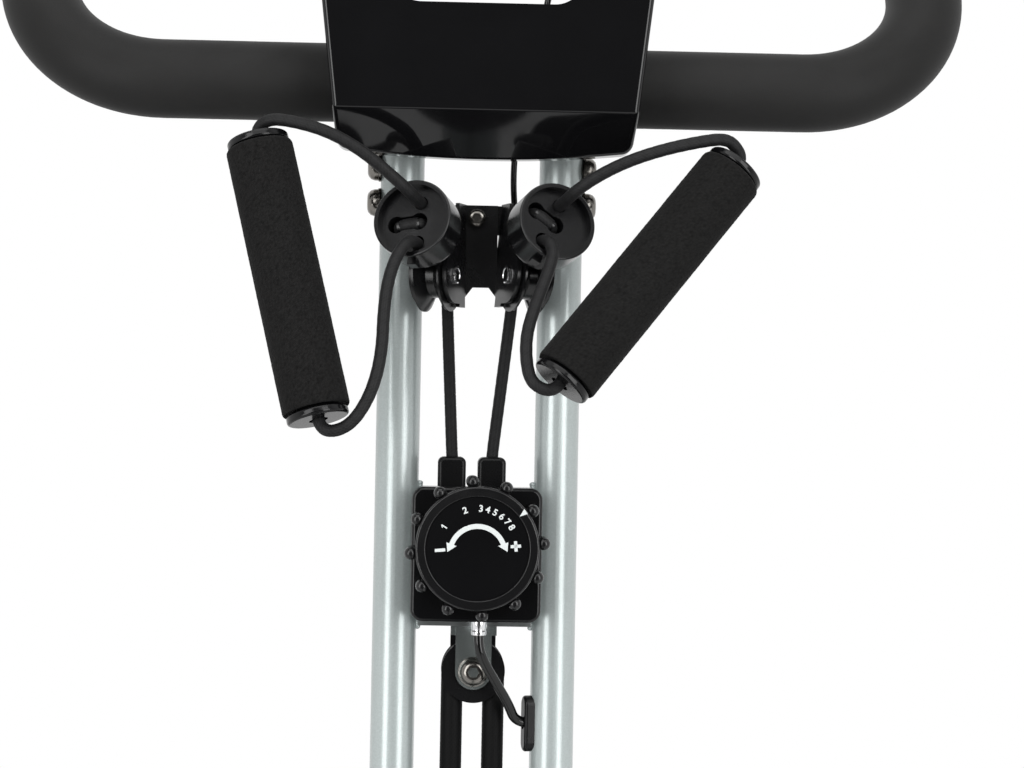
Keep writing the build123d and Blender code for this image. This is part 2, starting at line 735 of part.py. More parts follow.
def drive_mount():
    """Two side plates, a spacer, the fixed flywheel axle and the magnet bracket's pin."""
    spacer_d = 2 * FLYWHEEL_AXLE_D
    body = mount_plate(LEFT_MOUNT_X) + mount_plate(MOUNT_RIGHT_X)
    body += x_rod(MAIN_D / 4, MOUNT_RIGHT_X, -MOUNT_BELOW_PIVOT, 0, spacer_d)
    body += x_rod(LEFT_MOUNT_X, MOUNT_RIGHT_X + MOUNT_PLATE_T, *FLYWHEEL_CENTRE, FLYWHEEL_AXLE_D)
    body += x_rod(LEFT_MOUNT_X, -FLYWHEEL_T / 2 - GAP, *magnet_pivot(), MAGNET_PIN_D)
    body -= rod((0, -2 * MAIN_BELOW_PIVOT, 0), (0, 0, 0), MAIN_D)
    return on_main(body)


def flywheel():
    """A steel flywheel with its hub and small belt pulley."""
    left = LEFT_MOUNT_X + MOUNT_PLATE_T + GAP
    right = MOUNT_RIGHT_X - GAP
    disc = x_rod(-FLYWHEEL_T / 2, FLYWHEEL_T / 2, *FLYWHEEL_CENTRE, 2 * FLYWHEEL_R)
    disc = fillet(disc.edges(), FLYWHEEL_T / 9)
    recess = x_rod(FLYWHEEL_T / 2, FLYWHEEL_T / 4, *FLYWHEEL_CENTRE, FLYWHEEL_RECESS_D)
    hub = x_rod(-FLYWHEEL_T / 2, right, *FLYWHEEL_CENTRE, 2 * (SMALL_PULLEY_R - BELT_T))
    pulley = x_rod(BELT_X - BELT_W / 2, BELT_X + BELT_W / 2, *FLYWHEEL_CENTRE, 2 * SMALL_PULLEY_R)
    bore = x_rod(left - FLYWHEEL_T, right + FLYWHEEL_T, *FLYWHEEL_CENTRE, FLYWHEEL_AXLE_D + 2 * RUN)
    return on_main(disc - recess + hub + pulley - bore)


def magnet_bracket():
    """A curved shoe outside the flywheel's rim, on an ear that swings on the pin."""
    inside = FLYWHEEL_R + MAGNET_GAP
    outside = inside + MAGNET_T
    pivot = magnet_pivot()
    pivot_turn = atan2(pivot[1] - FLYWHEEL_CENTRE[1], pivot[0] - FLYWHEEL_CENTRE[0])
    first = degrees(pivot_turn) + MAGNET_LEAD
    ear_x = -FLYWHEEL_T / 2 - GAP - MOUNT_PLATE_T
    shoe_edge = FLYWHEEL_T / 2
    band = disc_at(FLYWHEEL_CENTRE, outside) - disc_at(FLYWHEEL_CENTRE, inside)
    wedge = [Vector(*FLYWHEEL_CENTRE)]
    for turn in (first, first + MAGNET_SPAN / 2, first + MAGNET_SPAN):
        wedge.append(Vector(*FLYWHEEL_CENTRE) + Vector(cos(radians(turn)), sin(radians(turn))) * 2 * outside)
    sector = make_face(Polyline(*wedge, close=True))
    shoe = side_sketch(ear_x, shoe_edge - ear_x, band & sector)
    middle = radians(first + MAGNET_SPAN / 2)
    tip = (FLYWHEEL_CENTRE[0] + (inside + MAGNET_T / 2) * cos(middle),
           FLYWHEEL_CENTRE[1] + (inside + MAGNET_T / 2) * sin(middle))
    ear = side_sketch(ear_x, MOUNT_PLATE_T, hull_of((pivot, MAGNET_PIN_D + CHEEK_T), (tip, MAGNET_T / 2)))
    hole = x_rod(2 * ear_x, 0, *pivot, MAGNET_PIN_D + 2 * RUN)
    return on_main(shoe + ear - hole)


def drive_belt():
    inner = RUN
    outer = RUN + BELT_T
    loop = hull_of((CRANK_CENTRE, DRIVE_PULLEY_R + outer), (FLYWHEEL_CENTRE, SMALL_PULLEY_R + outer))
    loop -= hull_of((CRANK_CENTRE, DRIVE_PULLEY_R + inner), (FLYWHEEL_CENTRE, SMALL_PULLEY_R + inner))
    return on_main(side_sketch(BELT_X - BELT_W / 2, BELT_W, loop))


def crank_bearing(side):
    start = side * SHELL_L / 2
    end = side * (SHELL_L / 2 - BEARING_W)
    return ring(crank_world(start), crank_world(end), BEARING_D, CRANK_AXLE_D + 2 * RUN)


def drive_pulley():
    """The large belt pulley with its hub and lightening holes."""
    x0 = BELT_X - BELT_W / 2
    x1 = BELT_X + BELT_W / 2
    disc = x_rod(x0, x1, *CRANK_CENTRE, 2 * DRIVE_PULLEY_R)
    hub = x_rod(SHELL_L / 2 + GAP, x1 + BELT_T, *CRANK_CENTRE, SHELL_D)
    body = disc + hub
    for hole in range(DRIVE_HOLES):
        place = on_circle(CRANK_CENTRE, DRIVE_HOLE_RING, FULL_TURN * hole / DRIVE_HOLES)
        body -= x_rod(x0 - BELT_W, x1 + BELT_W, *place, DRIVE_HOLE_D)
    return on_main(body - x_rod(0, 2 * BELT_X, *CRANK_CENTRE, CRANK_AXLE_D))


def crank_shafts():
    """The crank axle and the two pedal spindles."""
    end = ARM_X + ARM_T
    axle = rod(crank_world(-end), crank_world(end), CRANK_AXLE_D)
    spindles = []
    for side in (-1, 1):
        inner = crank_tip(side, side * ARM_X)
        outer = crank_tip(side, side * (PEDAL_X + PEDAL_W / 2 - PEDAL_GAP))
        spindles.append(rod(inner, outer, PEDAL_SPINDLE_D))
    return group(axle, *spindles)


def crank_arm(side):
    start = crank_world(0)
    tip = crank_tip(side, 0)
    outline = hull_of(((start.Y, start.Z), ARM_HUB_D / 2), ((tip.Y, tip.Z), ARM_TIP_D / 2))
    outline -= disc_at((start.Y, start.Z), CRANK_AXLE_D / 2)
    outline -= disc_at((tip.Y, tip.Z), PEDAL_SPINDLE_D / 2)
    return side_sketch(ARM_X if side > 0 else -ARM_X - ARM_T, ARM_T, outline)


def pedal(side):
    """A moulded platform with a barrel round its spindle and tread bars."""
    centre = crank_tip(side, side * PEDAL_X)
    frame_bar = PEDAL_T / 2
    body = Box(PEDAL_W, PEDAL_L, PEDAL_T)
    body = fillet(body.edges().filter_by(Axis.Z), PEDAL_T / 2)
    window_l = PEDAL_L / 2 - frame_bar - PEDAL_T / 2
    for end in (-1, 1):
        middle = end * (PEDAL_T / 2 + window_l / 2)
        body -= Pos(0, middle, 0) * Box(PEDAL_W - 2 * frame_bar, window_l, PEDAL_T)
        body += Pos(0, middle, 0) * Box(PEDAL_W - frame_bar, frame_bar / 2, PEDAL_T)
    inner_face = -side * PEDAL_W / 2
    outer_end = side * (PEDAL_W / 2 - PEDAL_GAP + GAP)
    body -= x_rod(inner_face, outer_end, 0, 0, PEDAL_SPINDLE_D + 2 * RUN)
    return Pos(*centre) * body


def pedal_strap(side):
    """An arched toe strap over the front of the pedal."""
    centre = crank_tip(side, side * PEDAL_X)
    half = PEDAL_W / 2
    rise = STRAP_H
    shoulder = half * STRAP_SHOULDER
    wide = half + STRAP_T
    foot = -PEDAL_T / 2
    bend = rise - shoulder
    outer = [
        Line((wide, foot), (wide, bend)),
        ThreePointArc((wide, bend), (0, rise + STRAP_T), (-wide, bend)),
        Line((-wide, bend), (-wide, foot)),
        Line((-wide, foot), (-half, foot)),
        Line((-half, foot), (-half, bend)),
        ThreePointArc((-half, bend), (0, rise), (half, bend)),
        Line((half, bend), (half, foot)),
        Line((half, foot), (wide, foot)),
    ]
    upright = Plane(origin=(0, 0, 0), x_dir=(1, 0, 0), z_dir=(0, -1, 0))
    band = extrude(upright * make_face(outer), STRAP_W / 2, both=True)
    forward = PEDAL_L / 2 - STRAP_W / 2 - PEDAL_T / 3
    return Pos(*(centre + Vector(0, forward, 0))) * band


# Post

def post_tube(side):
    """One of the twin tubes, from the rear stabilizer past the pivot to the handlebar."""
    x = side * POST_X
    knee = PIVOT - POST_UP * KNEE_BELOW_PIVOT
    top = post_vector((x, POST_TOP, 0))
    foot = Vector(x, REAR_Y, FOOT_AXIS_H)
    path = FilletPolyline(foot, Vector(x, knee.Y, knee.Z), top, radius=KNEE_R)
    start = Plane(origin=foot, z_dir=Vector(x, knee.Y, knee.Z) - foot)
    body = sweep(start * (Circle(POST_R) - Circle(POST_R - POST_WALL)), path=path)
    reach = POST_SPACING
    body -= x_rod(x - reach, x + reach, REAR_Y, FOOT_AXIS_H, STABILIZER_D)
    body -= x_rod(x - reach, x + reach, PIVOT_Y, PIVOT_Z, PIVOT_AXLE_D)
    for t in STEM_BOLT_TS:
        body -= on_post(x_rod(x, x + side * POST_D, t, 0, BOLT_D))
    if side < 0:
        boss_end = x - POST_R - PIN_BOSS_L
        body += on_post(x_rod(x - POST_R + POST_WALL, boss_end, FOLD_PIN_T, 0, PIN_BOSS_D))
        body -= on_post(x_rod(x + reach, x - reach, FOLD_PIN_T, 0, PIN_D + 2 * RUN))
    else:
        cable_in = grommet_axis()
        body -= on_post(rod(cable_in[0], cable_in[1], CABLE_D + 2 * CORD_HOLE))
        end = SENSOR_CABLE_END
        body -= on_post(x_rod(0, end[0], end[1], end[2], SENSOR_CABLE_D + 4 * CORD_HOLE))
    return body


def rear_stabilizer():
    return stabilizer(REAR_Y, REAR_STABILIZER_L)


def bar_path():
    """The handlebar's centre line: straight across, bent up and forward at both ends."""
    tilt = radians(BAR_TILT)
    end_x = BAR_HALF_STRAIGHT + BAR_BEND_R
    rise = BAR_BEND_R + BAR_ARM_L
    up_t = BAR_T + rise * cos(tilt)
    up_n = BAR_N - rise * sin(tilt)
    points = [(-end_x, up_t, up_n), (-end_x, BAR_T, BAR_N), (end_x, BAR_T, BAR_N), (end_x, up_t, up_n)]
    return [Vector(*point) for point in points]


def handlebar_tube():
    points = bar_path()
    path = FilletPolyline(*points, radius=BAR_BEND_R)
    start = Plane(origin=points[0], z_dir=points[1] - points[0])
    return on_post(sweep(start * (Circle(BAR_D / 2) - Circle(BAR_D / 2 - BAR_WALL)), path=path))


def bar_grip(side):
    """A foam sleeve over one side of the bar, with a plug in the bar's end."""
    points = [mirrored(side, point) for point in [tuple(point) for point in bar_path()[2:]]]
    points = [Vector(*point) for point in points]
    start = Vector(side * FOAM_INNER_X, BAR_T, BAR_N)
    path = FilletPolyline(start, points[0], points[1], radius=BAR_BEND_R)
    section = Circle(FOAM_D / 2) - Circle(BAR_D / 2)
    sleeve = sweep(Plane(origin=start, z_dir=(side, 0, 0)) * section, path=path)
    along = (points[1] - points[0]).normalized()
    cap = rod(points[1], points[1] + along * BAR_CAP_L, FOAM_D)
    far_face = cap.faces().sort_by_distance(points[1] + along * BAR_CAP_L)[0]
    cap = fillet(far_face.edges(), BAR_CAP_L / 2)
    return on_post(sleeve), on_post(cap)


def handlebar_foam():
    return group(*bar_grip(-1), *bar_grip(1))


def handlebar_stem():
    """Two legs inside the twin tubes, a yoke over them, side plates round the bar and the holder's tab."""
    inner = INNER_X - STEM_PLATE_T
    outline_d = BAR_D + 4 * STEM_PLATE_T
    yoke_top = POST_TOP + YOKE_T
    body = block((-POST_X, POST_X), (POST_TOP, yoke_top), (-POST_R, POST_R))
    for side in (-1, 1):
        leg_x = side * POST_X
        body += rod((leg_x, POST_TOP, 0), (leg_x, yoke_top, 0), POST_D)
        body += ring((leg_x, STEM_BOTTOM, 0), (leg_x, POST_TOP, 0), STEM_LEG_D, STEM_LEG_D - 2 * POST_WALL)
        x = (inner, INNER_X) if side > 0 else (-INNER_X, -inner)
        body += block(x, (POST_TOP, BAR_T), (-POST_R / 2, BAR_N))
        body += x_rod(x[0], x[1], BAR_T, BAR_N, outline_d)
        for t in STEM_BOLT_TS:
            body -= x_rod(leg_x, 2 * leg_x, t, 0, BOLT_D)
    tab_n = (BAR_N, HOLDER_FRONT_N - HOLDER_WALL)
    body += block((-inner, inner), (BAR_T + BAR_D / 2, STEM_TOP + STEM_PLATE_T), tab_n)
    body -= x_rod(-2 * INNER_X, 2 * INNER_X, BAR_T, BAR_N, BAR_D)
    body -= cable_space()
    return on_post(body)


def cable_space():
    """Room for the sensor cable through the stem's tab."""
    x, t, n = SENSOR_CABLE_ROUTE[3]
    return block((x - 2 * SENSOR_CABLE_D, x + 3 * SENSOR_CABLE_D), (BAR_T, 2 * HOLDER_TOP_T),
                 (n - 2 * SENSOR_CABLE_D, n + 2 * SENSOR_CABLE_D))


def stem_bolt(side, t):
    outer = side * (POST_X + POST_R)
    head = x_rod(outer, outer + side * BOLT_HEAD_H, t, 0, BOLT_HEAD_D)
    head = fillet(head.faces().sort_by(Axis.X)[-1 if side > 0 else 0].edges(), BOLT_HEAD_H / 2)
    shank = x_rod(outer, side * (POST_X - BOLT_D / 2), t, 0, BOLT_D)
    return on_post(head + shank)


# Console and device holder

def holder_half_width(t):
    """The holder widens towards its top."""
    share = (t - HOLDER_LEDGE_T) / (HOLDER_TOP_T - HOLDER_LEDGE_T)
    return HOLDER_BOTTOM_HALF_W + share * (HOLDER_TOP_HALF_W - HOLDER_BOTTOM_HALF_W)


def holder_solid(inset):
    """The holder's outside, or its hollow when inset by the wall."""
    profile = Polyline(
        (HOLDER_BOTTOM_T + inset, HOLDER_BACK_N - 2 * inset),
        (HOLDER_BOTTOM_T + inset, HOLDER_BOTTOM_N - inset / 2),
        (HOLDER_LEDGE_T + inset / 2, HOLDER_FRONT_N - inset),
        (HOLDER_TOP_T - inset, HOLDER_FRONT_N - inset),
        (HOLDER_TOP_T - inset, HOLDER_BACK_N - 2 * inset),
        close=True)
    reach = 2 * HOLDER_TOP_HALF_W
    body = side_sketch(-reach, 2 * reach, make_face(profile))
    bottom_w = holder_half_width(HOLDER_BOTTOM_T) - inset
    top_w = holder_half_width(HOLDER_TOP_T) - inset
    bottom_t = HOLDER_BOTTOM_T + HOLDER_SAG + inset
    plan = [
        ThreePointArc((-bottom_w, bottom_t), (0, HOLDER_BOTTOM_T + inset), (bottom_w, bottom_t)),
        Line((bottom_w, bottom_t), (top_w, HOLDER_TOP_T)),
        Line((top_w, HOLDER_TOP_T), (-top_w, HOLDER_TOP_T)),
        Line((-top_w, HOLDER_TOP_T), (-bottom_w, bottom_t)),
    ]
    return body & extrude(make_face(plan), 2 * HOLDER_FRONT_N)


def device_holder():
    """A glossy panel with a window, open at the back, screwed to the stem's tab."""
    body = holder_solid(0)
    uprights = body.edges().filter_by(Axis.Z)
    top_corners = uprights.sort_by(Axis.Y)[-2:]
    body = fillet(top_corners, 2 * HOLDER_CORNER_R)
    body = fillet(body.edges().filter_by(Axis.Z).sort_by(Axis.Y)[:2], HOLDER_CORNER_R)
    front = body.edges().filter_by(lambda edge: edge.center().Z > (HOLDER_BOTTOM_N + HOLDER_BACK_N) / 2)
    body = fillet(front, HOLDER_EDGE_R)
    body -= holder_solid(HOLDER_WALL)
    window = RectangleRounded(2 * WINDOW_HALF_W, WINDOW_TOP_T - WINDOW_BOTTOM_T, WINDOW_R)
    place = Pos(0, (WINDOW_TOP_T + WINDOW_BOTTOM_T) / 2, 0)
    body -= place * extrude(window, 2 * HOLDER_FRONT_N)
    return on_post(body)


def console_body():
    """The computer on the holder's front, with a pocket for its display and button."""
    height = CONSOLE_TOP_T - CONSOLE_BOTTOM_T
    front = HOLDER_FRONT_N + CONSOLE_D
    middle = (CONSOLE_TOP_T + CONSOLE_BOTTOM_T) / 2
    face = RectangleRounded(2 * CONSOLE_HALF_W, height, height / 5)
    body = Pos(0, middle, HOLDER_FRONT_N) * extrude(face, CONSOLE_D)
    body = fillet(body.faces().sort_by(Axis.Z)[-1].edges(), CONSOLE_D / 5)
    pocket = RectangleRounded(2 * LENS_HALF_W, LENS_H, LENS_T)
    body -= Pos(LENS_X, middle, front - LENS_T) * extrude(pocket, LENS_T)
    well = (button_x(), middle, front - BUTTON_H)
    body -= rod(well, (well[0], well[1], front), BUTTON_D + 2 * RUN)
    return on_post(body)


def console_lens():
    middle = (CONSOLE_TOP_T + CONSOLE_BOTTOM_T) / 2
    front = HOLDER_FRONT_N + CONSOLE_D
    lens = extrude(RectangleRounded(2 * LENS_HALF_W - GAP, LENS_H - GAP, LENS_T), LENS_T)
    return on_post(Pos(LENS_X, middle, front - LENS_T) * lens)


def button_x():
    return (LENS_X + LENS_HALF_W + CONSOLE_HALF_W) / 2


def console_button():
    middle = (CONSOLE_TOP_T + CONSOLE_BOTTOM_T) / 2
    front = HOLDER_FRONT_N + CONSOLE_D
    base = front - BUTTON_H + BUTTON_TRAVEL + GAP
    cap = rod((button_x(), middle, base), (button_x(), middle, front + BUTTON_TRAVEL + GAP), BUTTON_D)
    cap = fillet(cap.faces().sort_by(Axis.Z)[-1].edges(), BUTTON_TRAVEL / 2)
    return on_post(cap)


def sensor_cable():
    points = SENSOR_CABLE_ROUTE + [SENSOR_CABLE_END]
    return on_post(cord_tube("sensor_cable", points, SENSOR_CABLE_D))


# Arm bands

def pull_direction(side):
    """The way that a handle is pulled, in the post frame."""
    forward = (1 - PULL_X ** 2 - PULL_T ** 2) ** 0.5
    return Vector(side * PULL_X, PULL_T, forward)


def guide_point(side):
    return Vector(GUIDE_MIDDLE_X + side * GUIDE_X, GUIDE_TOP, GUIDE_N)


def pulley_centre(side):
    return Vector(side * PULLEY_X, PULLEY_T, PULLEY_N)


def pulley_axis(side):
    """The pulley's axle, square to the pull and to the way down to the guide, and towards the rider."""
    axis = (guide_point(side) - pulley_centre(side)).cross(pull_direction(side)).normalized()
    return axis if axis.Z > 0 else axis * -1


def pulley_up(side):
    """From the pulley's centre to where the pulled cord leaves it."""
    up = pull_direction(side).cross(pulley_axis(side)).normalized()
    return up if up.Y > 0 else up * -1


def rope_meet(side):
    """Where the rope from the guide touches the pulley."""
    to_guide = guide_point(side) - pulley_centre(side)
    along = to_guide.normalized()
    rear = along.cross(pulley_axis(side)).normalized()
    rear = rear if rear.Z < 0 else rear * -1
    share = PULLEY_ROPE_R / to_guide.length
    return pulley_centre(side) + (along * share + rear * (1 - share ** 2) ** 0.5) * PULLEY_ROPE_R


def pulley_rear(side):
    return (rope_meet(side) - pulley_centre(side)).normalized()


def rope_down(side):
    """The way that the rope runs from the pulley to its guide."""
    return (guide_point(side) - rope_meet(side)).normalized()


def cord_leave(side):
    return pulley_centre(side) + pulley_up(side) * PULLEY_ROPE_R


def cup_frame(side):
    """The cup's own frame: its face at the origin, x to the right, y up, z the pull."""
    face = cord_leave(side) + pull_direction(side) * (CUP_FROM_PULLEY + CUP_L)
    up = pulley_up(side)
    level = up.cross(pull_direction(side))
    turn = radians(LEFT_CUP_TURN if side < 0 else RIGHT_CUP_TURN)
    return Plane(origin=face, x_dir=level * cos(turn) + up * sin(turn), z_dir=pull_direction(side))


def cup(side):
    """A round stop with a sunk face, two cord holes and a slot that a short cord bridges."""
    body = rod((0, 0, -CUP_L), (0, 0, 0), CUP_D)
    body = fillet(body.faces().sort_by(Axis.Z)[0].edges(), CUP_L / 4)
    body = fillet(body.faces().sort_by(Axis.Z)[-1].edges(), CUP_RIM / 3)
    body -= rod((0, 0, -CUP_RECESS), (0, 0, GAP), CUP_D - 2 * CUP_RIM)
    floor = -CUP_RECESS - CUP_HOLE_DEPTH
    for hole_x, hole_y in LEFT_CUP_HOLES if side < 0 else RIGHT_CUP_HOLES:
        body -= rod((hole_x, hole_y, floor), (hole_x, hole_y, 0), CORD_D + 2 * CORD_HOLE)
    slot_x, slot_y, slot_turn = LEFT_CUP_SLOT if side < 0 else RIGHT_CUP_SLOT
    eye = (CUP_SLOT_L - CUP_EYE_D) / 2
    slot = SlotOverall(CUP_SLOT_L, CUP_SLOT_W)
    slot += disc_at((-eye, 0), CUP_EYE_D / 2) + disc_at((eye, 0), CUP_EYE_D / 2)
    place = Pos(slot_x, slot_y, floor) * Rot(0, 0, slot_turn)
    body -= place * extrude(slot, CUP_HOLE_DEPTH + GAP)
    bridge_h = CUP_HOLE_DEPTH - CORD_D / 2
    bridge = place * rod((-eye, 0, bridge_h), (eye, 0, bridge_h), CORD_D)
    under = -CUP_D / 2
    tab = block((-CUP_RIM, CUP_RIM), (under - CUP_RIM, under + CUP_RIM), (-CUP_L / 2, -CUP_L / 4))
    return on_post(cup_frame(side).location * (body + tab)), on_post(cup_frame(side).location * bridge)


def cup_point(side, point):
    return cup_frame(side).from_local_coords(Vector(*point))


def cup_node(side):
    return group(*cup(side))


def handle_points(side):
    """The handle's cord: out of the cup, through the grip and back to the cup."""
    top, bottom = LEFT_GRIP if side < 0 else RIGHT_GRIP
    upper = LEFT_UPPER_LOOP if side < 0 else RIGHT_UPPER_LOOP
    lower = LEFT_LOWER_LOOP if side < 0 else RIGHT_LOWER_LOOP
    top, bottom = Vector(*top), Vector(*bottom)
    along = (bottom - top).normalized()
    floor = -CUP_RECESS - CUP_HOLE_DEPTH
    (upper_x, upper_y), (lower_x, lower_y) = LEFT_CUP_HOLES if side < 0 else RIGHT_CUP_HOLES
    upper_lead = CUP_EXIT_UPPER - CUP_RECESS
    lower_lead = CUP_EXIT_LOWER - CUP_RECESS
    points = [cup_point(side, (upper_x, upper_y, floor)), cup_point(side, (upper_x, upper_y, upper_lead))]
    points += [Vector(*point) for point in upper]
    points += [top - along * GRIP_EXIT, bottom + along * GRIP_EXIT]
    points += [Vector(*point) for point in reversed(lower)]
    points += [cup_point(side, (lower_x, lower_y, lower_lead)), cup_point(side, (lower_x, lower_y, floor))]
    return points


def handle_cord(side):
    name = "handle_cord_left" if side < 0 else "handle_cord_right"
    return on_post(cord_tube(name, handle_points(side), CORD_D))


def grip_ends(side):
    top, bottom = LEFT_GRIP if side < 0 else RIGHT_GRIP
    return Vector(*top), Vector(*bottom)


def grip(side):
    """A foam sleeve on the handle's hard core."""
    top, bottom = grip_ends(side)
    sleeve = rod(top, bottom, GRIP_D)
    sleeve = fillet(sleeve.edges(), CHEEK_T)
    return on_post(sleeve - rod(top, bottom, GRIP_CORE_D))


def grip_core(side):
    """A hard tube with a cap at each end, that the cord runs through."""
    top, bottom = grip_ends(side)
    along = (bottom - top).normalized()
    core = rod(top, bottom, GRIP_CORE_D)
    core += fillet(rod(top - along * GRIP_CAP_T, top, GRIP_CAP_D).edges(), GRIP_CAP_T / 3)
    core += fillet(rod(bottom, bottom + along * GRIP_CAP_T, GRIP_CAP_D).edges(), GRIP_CAP_T / 3)
    return on_post(core - rod(top - along * GRIP_CAP_D, bottom + along * GRIP_CAP_D, GRIP_BORE))


def lead_cord(side):
    """The pulled cord between its pulley and the cup."""
    start = cord_leave(side)
    return on_post(rod(start, start + pull_direction(side) * CUP_FROM_PULLEY, CORD_D))


def cord_pulley(side):
    """A grooved wheel on its rivet."""
    groove_r = PULLEY_ROPE_R - CORD_D / 2 - GAP / 2
    half = PULLEY_W / 2
    profile = [
        Line((PULLEY_AXLE_D / 2 + RUN, -half), (PULLEY_R, -half)),
        Line((PULLEY_R, -half), (PULLEY_R, -half + CHEEK_T / 2)),
        Line((PULLEY_R, -half + CHEEK_T / 2), (groove_r, -CORD_D / 3)),
        Line((groove_r, -CORD_D / 3), (groove_r, CORD_D / 3)),
        Line((groove_r, CORD_D / 3), (PULLEY_R, half - CHEEK_T / 2)),
        Line((PULLEY_R, half - CHEEK_T / 2), (PULLEY_R, half)),
        Line((PULLEY_R, half), (PULLEY_AXLE_D / 2 + RUN, half)),
        Line((PULLEY_AXLE_D / 2 + RUN, half), (PULLEY_AXLE_D / 2 + RUN, -half)),
    ]
    wheel = revolve(Plane.XZ * make_face(profile), Axis.Z)
    return on_post(Plane(origin=pulley_centre(side), z_dir=pulley_axis(side)).location * wheel)


def cheek_plane(side, offset):
    """A plane square to the pulley's axle: x to the pulley's rear, y up."""
    axis = pulley_axis(side)
    back = Vector(0, 1, 0).cross(axis).normalized()
    back = back if back.Z < 0 else back * -1
    return Plane(origin=pulley_centre(side) + axis * offset, x_dir=back, z_dir=axis)


def pulley_bracket():
    """A web between the tubes, a bent plate with an inner cheek for each pulley, and two outer cheeks."""
    middle_t = (BRACKET_TOP + BRACKET_BOTTOM) / 2
    inner_offset = PULLEY_W / 2 + CHEEK_GAP
    plate_half = PULLEY_X - PULLEY_W
    plate = block((-plate_half, plate_half), (BRACKET_BOTTOM, BRACKET_TOP), (BRACKET_N, BRACKET_N + CHEEK_T))
    loose = []
    for side in (-1, 1):
        plane = cheek_plane(side, inner_offset)
        thick = CHEEK_T
        back = (Vector(side * plate_half, PULLEY_T, BRACKET_N) - plane.origin).dot(plane.x_dir)
        reach = back + CHEEK_T
        outline = Circle(CHEEK_R) + Pos(reach / 2, 0) * Rectangle(reach, 2 * CHEEK_R)
        upright = Rectangle(CHEEK_R, BRACKET_TOP - BRACKET_BOTTOM)
        outline += Pos(reach - CHEEK_R / 2, side * (PULLEY_T - middle_t)) * upright
        cheek = plane.location * extrude(outline - Circle((PULLEY_AXLE_D + HOLE) / 2), thick)
        behind = block((-POST_X, POST_X), (2 * BRACKET_BOTTOM, 0), (-POST_X, BRACKET_N))
        plate += cheek - behind
        outer = cheek_plane(side, -inner_offset - thick)
        loose.append(outer.location * extrude(Circle(CHEEK_R) - Circle((PULLEY_AXLE_D + HOLE) / 2), thick))
    bolt_x = BRACKET_BOLT_X
    bolt_hole = rod((bolt_x, BRACKET_BOLT_T, 0), (bolt_x, BRACKET_BOLT_T, POST_X), BOLT_D + HOLE)
    plate -= bolt_hole
    web_back = BRACKET_N - STEM_PLATE_T
    web_half = POST_X - (POST_R ** 2 - web_back ** 2) ** 0.5
    web = block((-web_half, web_half), (BRACKET_WEB_BOTTOM, BRACKET_TOP), (web_back, BRACKET_N)) - bolt_hole
    half_top = BRACKET_NOTCH_TOP_W / 2
    half_bottom = BRACKET_NOTCH_BOTTOM_W / 2
    notch = Polyline((-half_bottom, BRACKET_BOTTOM), (-half_top, BRACKET_NOTCH_T),
                     (half_top, BRACKET_NOTCH_T), (half_bottom, BRACKET_BOTTOM), close=True)
    plate -= extrude(make_face(notch), BRACKET_N + 2 * CHEEK_T)
    return on_post(group(plate, web, *loose))


def pulley_rivet(side):
    reach = PULLEY_W / 2 + CHEEK_GAP + CHEEK_T
    axis = pulley_axis(side)
    centre = pulley_centre(side)
    pin = rod(centre - axis * reach, centre + axis * reach, PULLEY_AXLE_D)
    for way in (-1, 1):
        seat = centre + axis * way * reach
        pin += rod(seat, seat + axis * way * RIVET_HEAD_H, RIVET_HEAD_D)
    return on_post(pin)


def bracket_bolt():
    x = BRACKET_BOLT_X
    seat = BRACKET_N + CHEEK_T
    shank = rod((x, BRACKET_BOLT_T, BRACKET_N - STEM_PLATE_T), (x, BRACKET_BOLT_T, seat), BOLT_D)
    head = rod((x, BRACKET_BOLT_T, seat), (x, BRACKET_BOLT_T, seat + BOLT_D / 2), BRACKET_BOLT_HEAD_D)
    return on_post(shank + head)


def cord_guide(side):
    """A rounded bush that a rope runs through, on the back of the knob's plate."""
    top = guide_point(side)
    outline = Rectangle(GUIDE_W, GUIDE_TOP - GUIDE_BOTTOM)
    outline = fillet(outline.vertices().sort_by(Axis.Y)[-2:], GUIDE_CORNER_R)
    body = extrude(outline, PLATE_N - GUIDE_BACK_N)
    body = fillet(body.faces().sort_by(Axis.Z)[-1].edges(), GUIDE_FLARE)
    body = Pos(top.X, (GUIDE_TOP + GUIDE_BOTTOM) / 2, GUIDE_BACK_N) * body
    hole = rod(top - rope_down(side) * CORD_D, top + rope_down(side) * CORD_D, CORD_D + 4 * CORD_HOLE)
    hole += rod(top, top + rope_below(side) * 8 * CORD_D, CORD_D + 4 * CORD_HOLE)
    return body - hole


def rope_end(side):
    """Where a rope ends, just over the block's head."""
    return Vector(side * BLOCK_ROPE_X, BLOCK_TOP + GAP, BLOCK_N)


def rope_below(side):
    return (rope_end(side) - guide_point(side)).normalized()


def grommet_axis():
    """A line from the tension cable's end into the right tube."""
    turn = radians(GROMMET_ANGLE)
    out = Vector(-cos(turn), 0, sin(turn))
    middle = Vector(POST_X, GROMMET_T, 0)
    return middle, middle + out * 2 * POST_R


def cable_grommet():
    """An oval rubber grommet on the tube's inner side."""
    middle, outer = grommet_axis()
    out = (outer - middle).normalized()
    seat = Plane(origin=middle, x_dir=(0, 1, 0), z_dir=out)
    body = extrude(SlotOverall(GROMMET_L, GROMMET_W), POST_R + GROMMET_H)
    body = fillet(body.faces().sort_by(Axis.Z)[-1].edges(), GROMMET_EDGE_R)
    body -= rod((0, 0, 0), (0, 0, 2 * POST_R), CABLE_D + 2 * CORD_HOLE)
    body = seat.location * body
    return body - rod((POST_X, 2 * GROMMET_T, 0), (POST_X, 0, 0), POST_D)


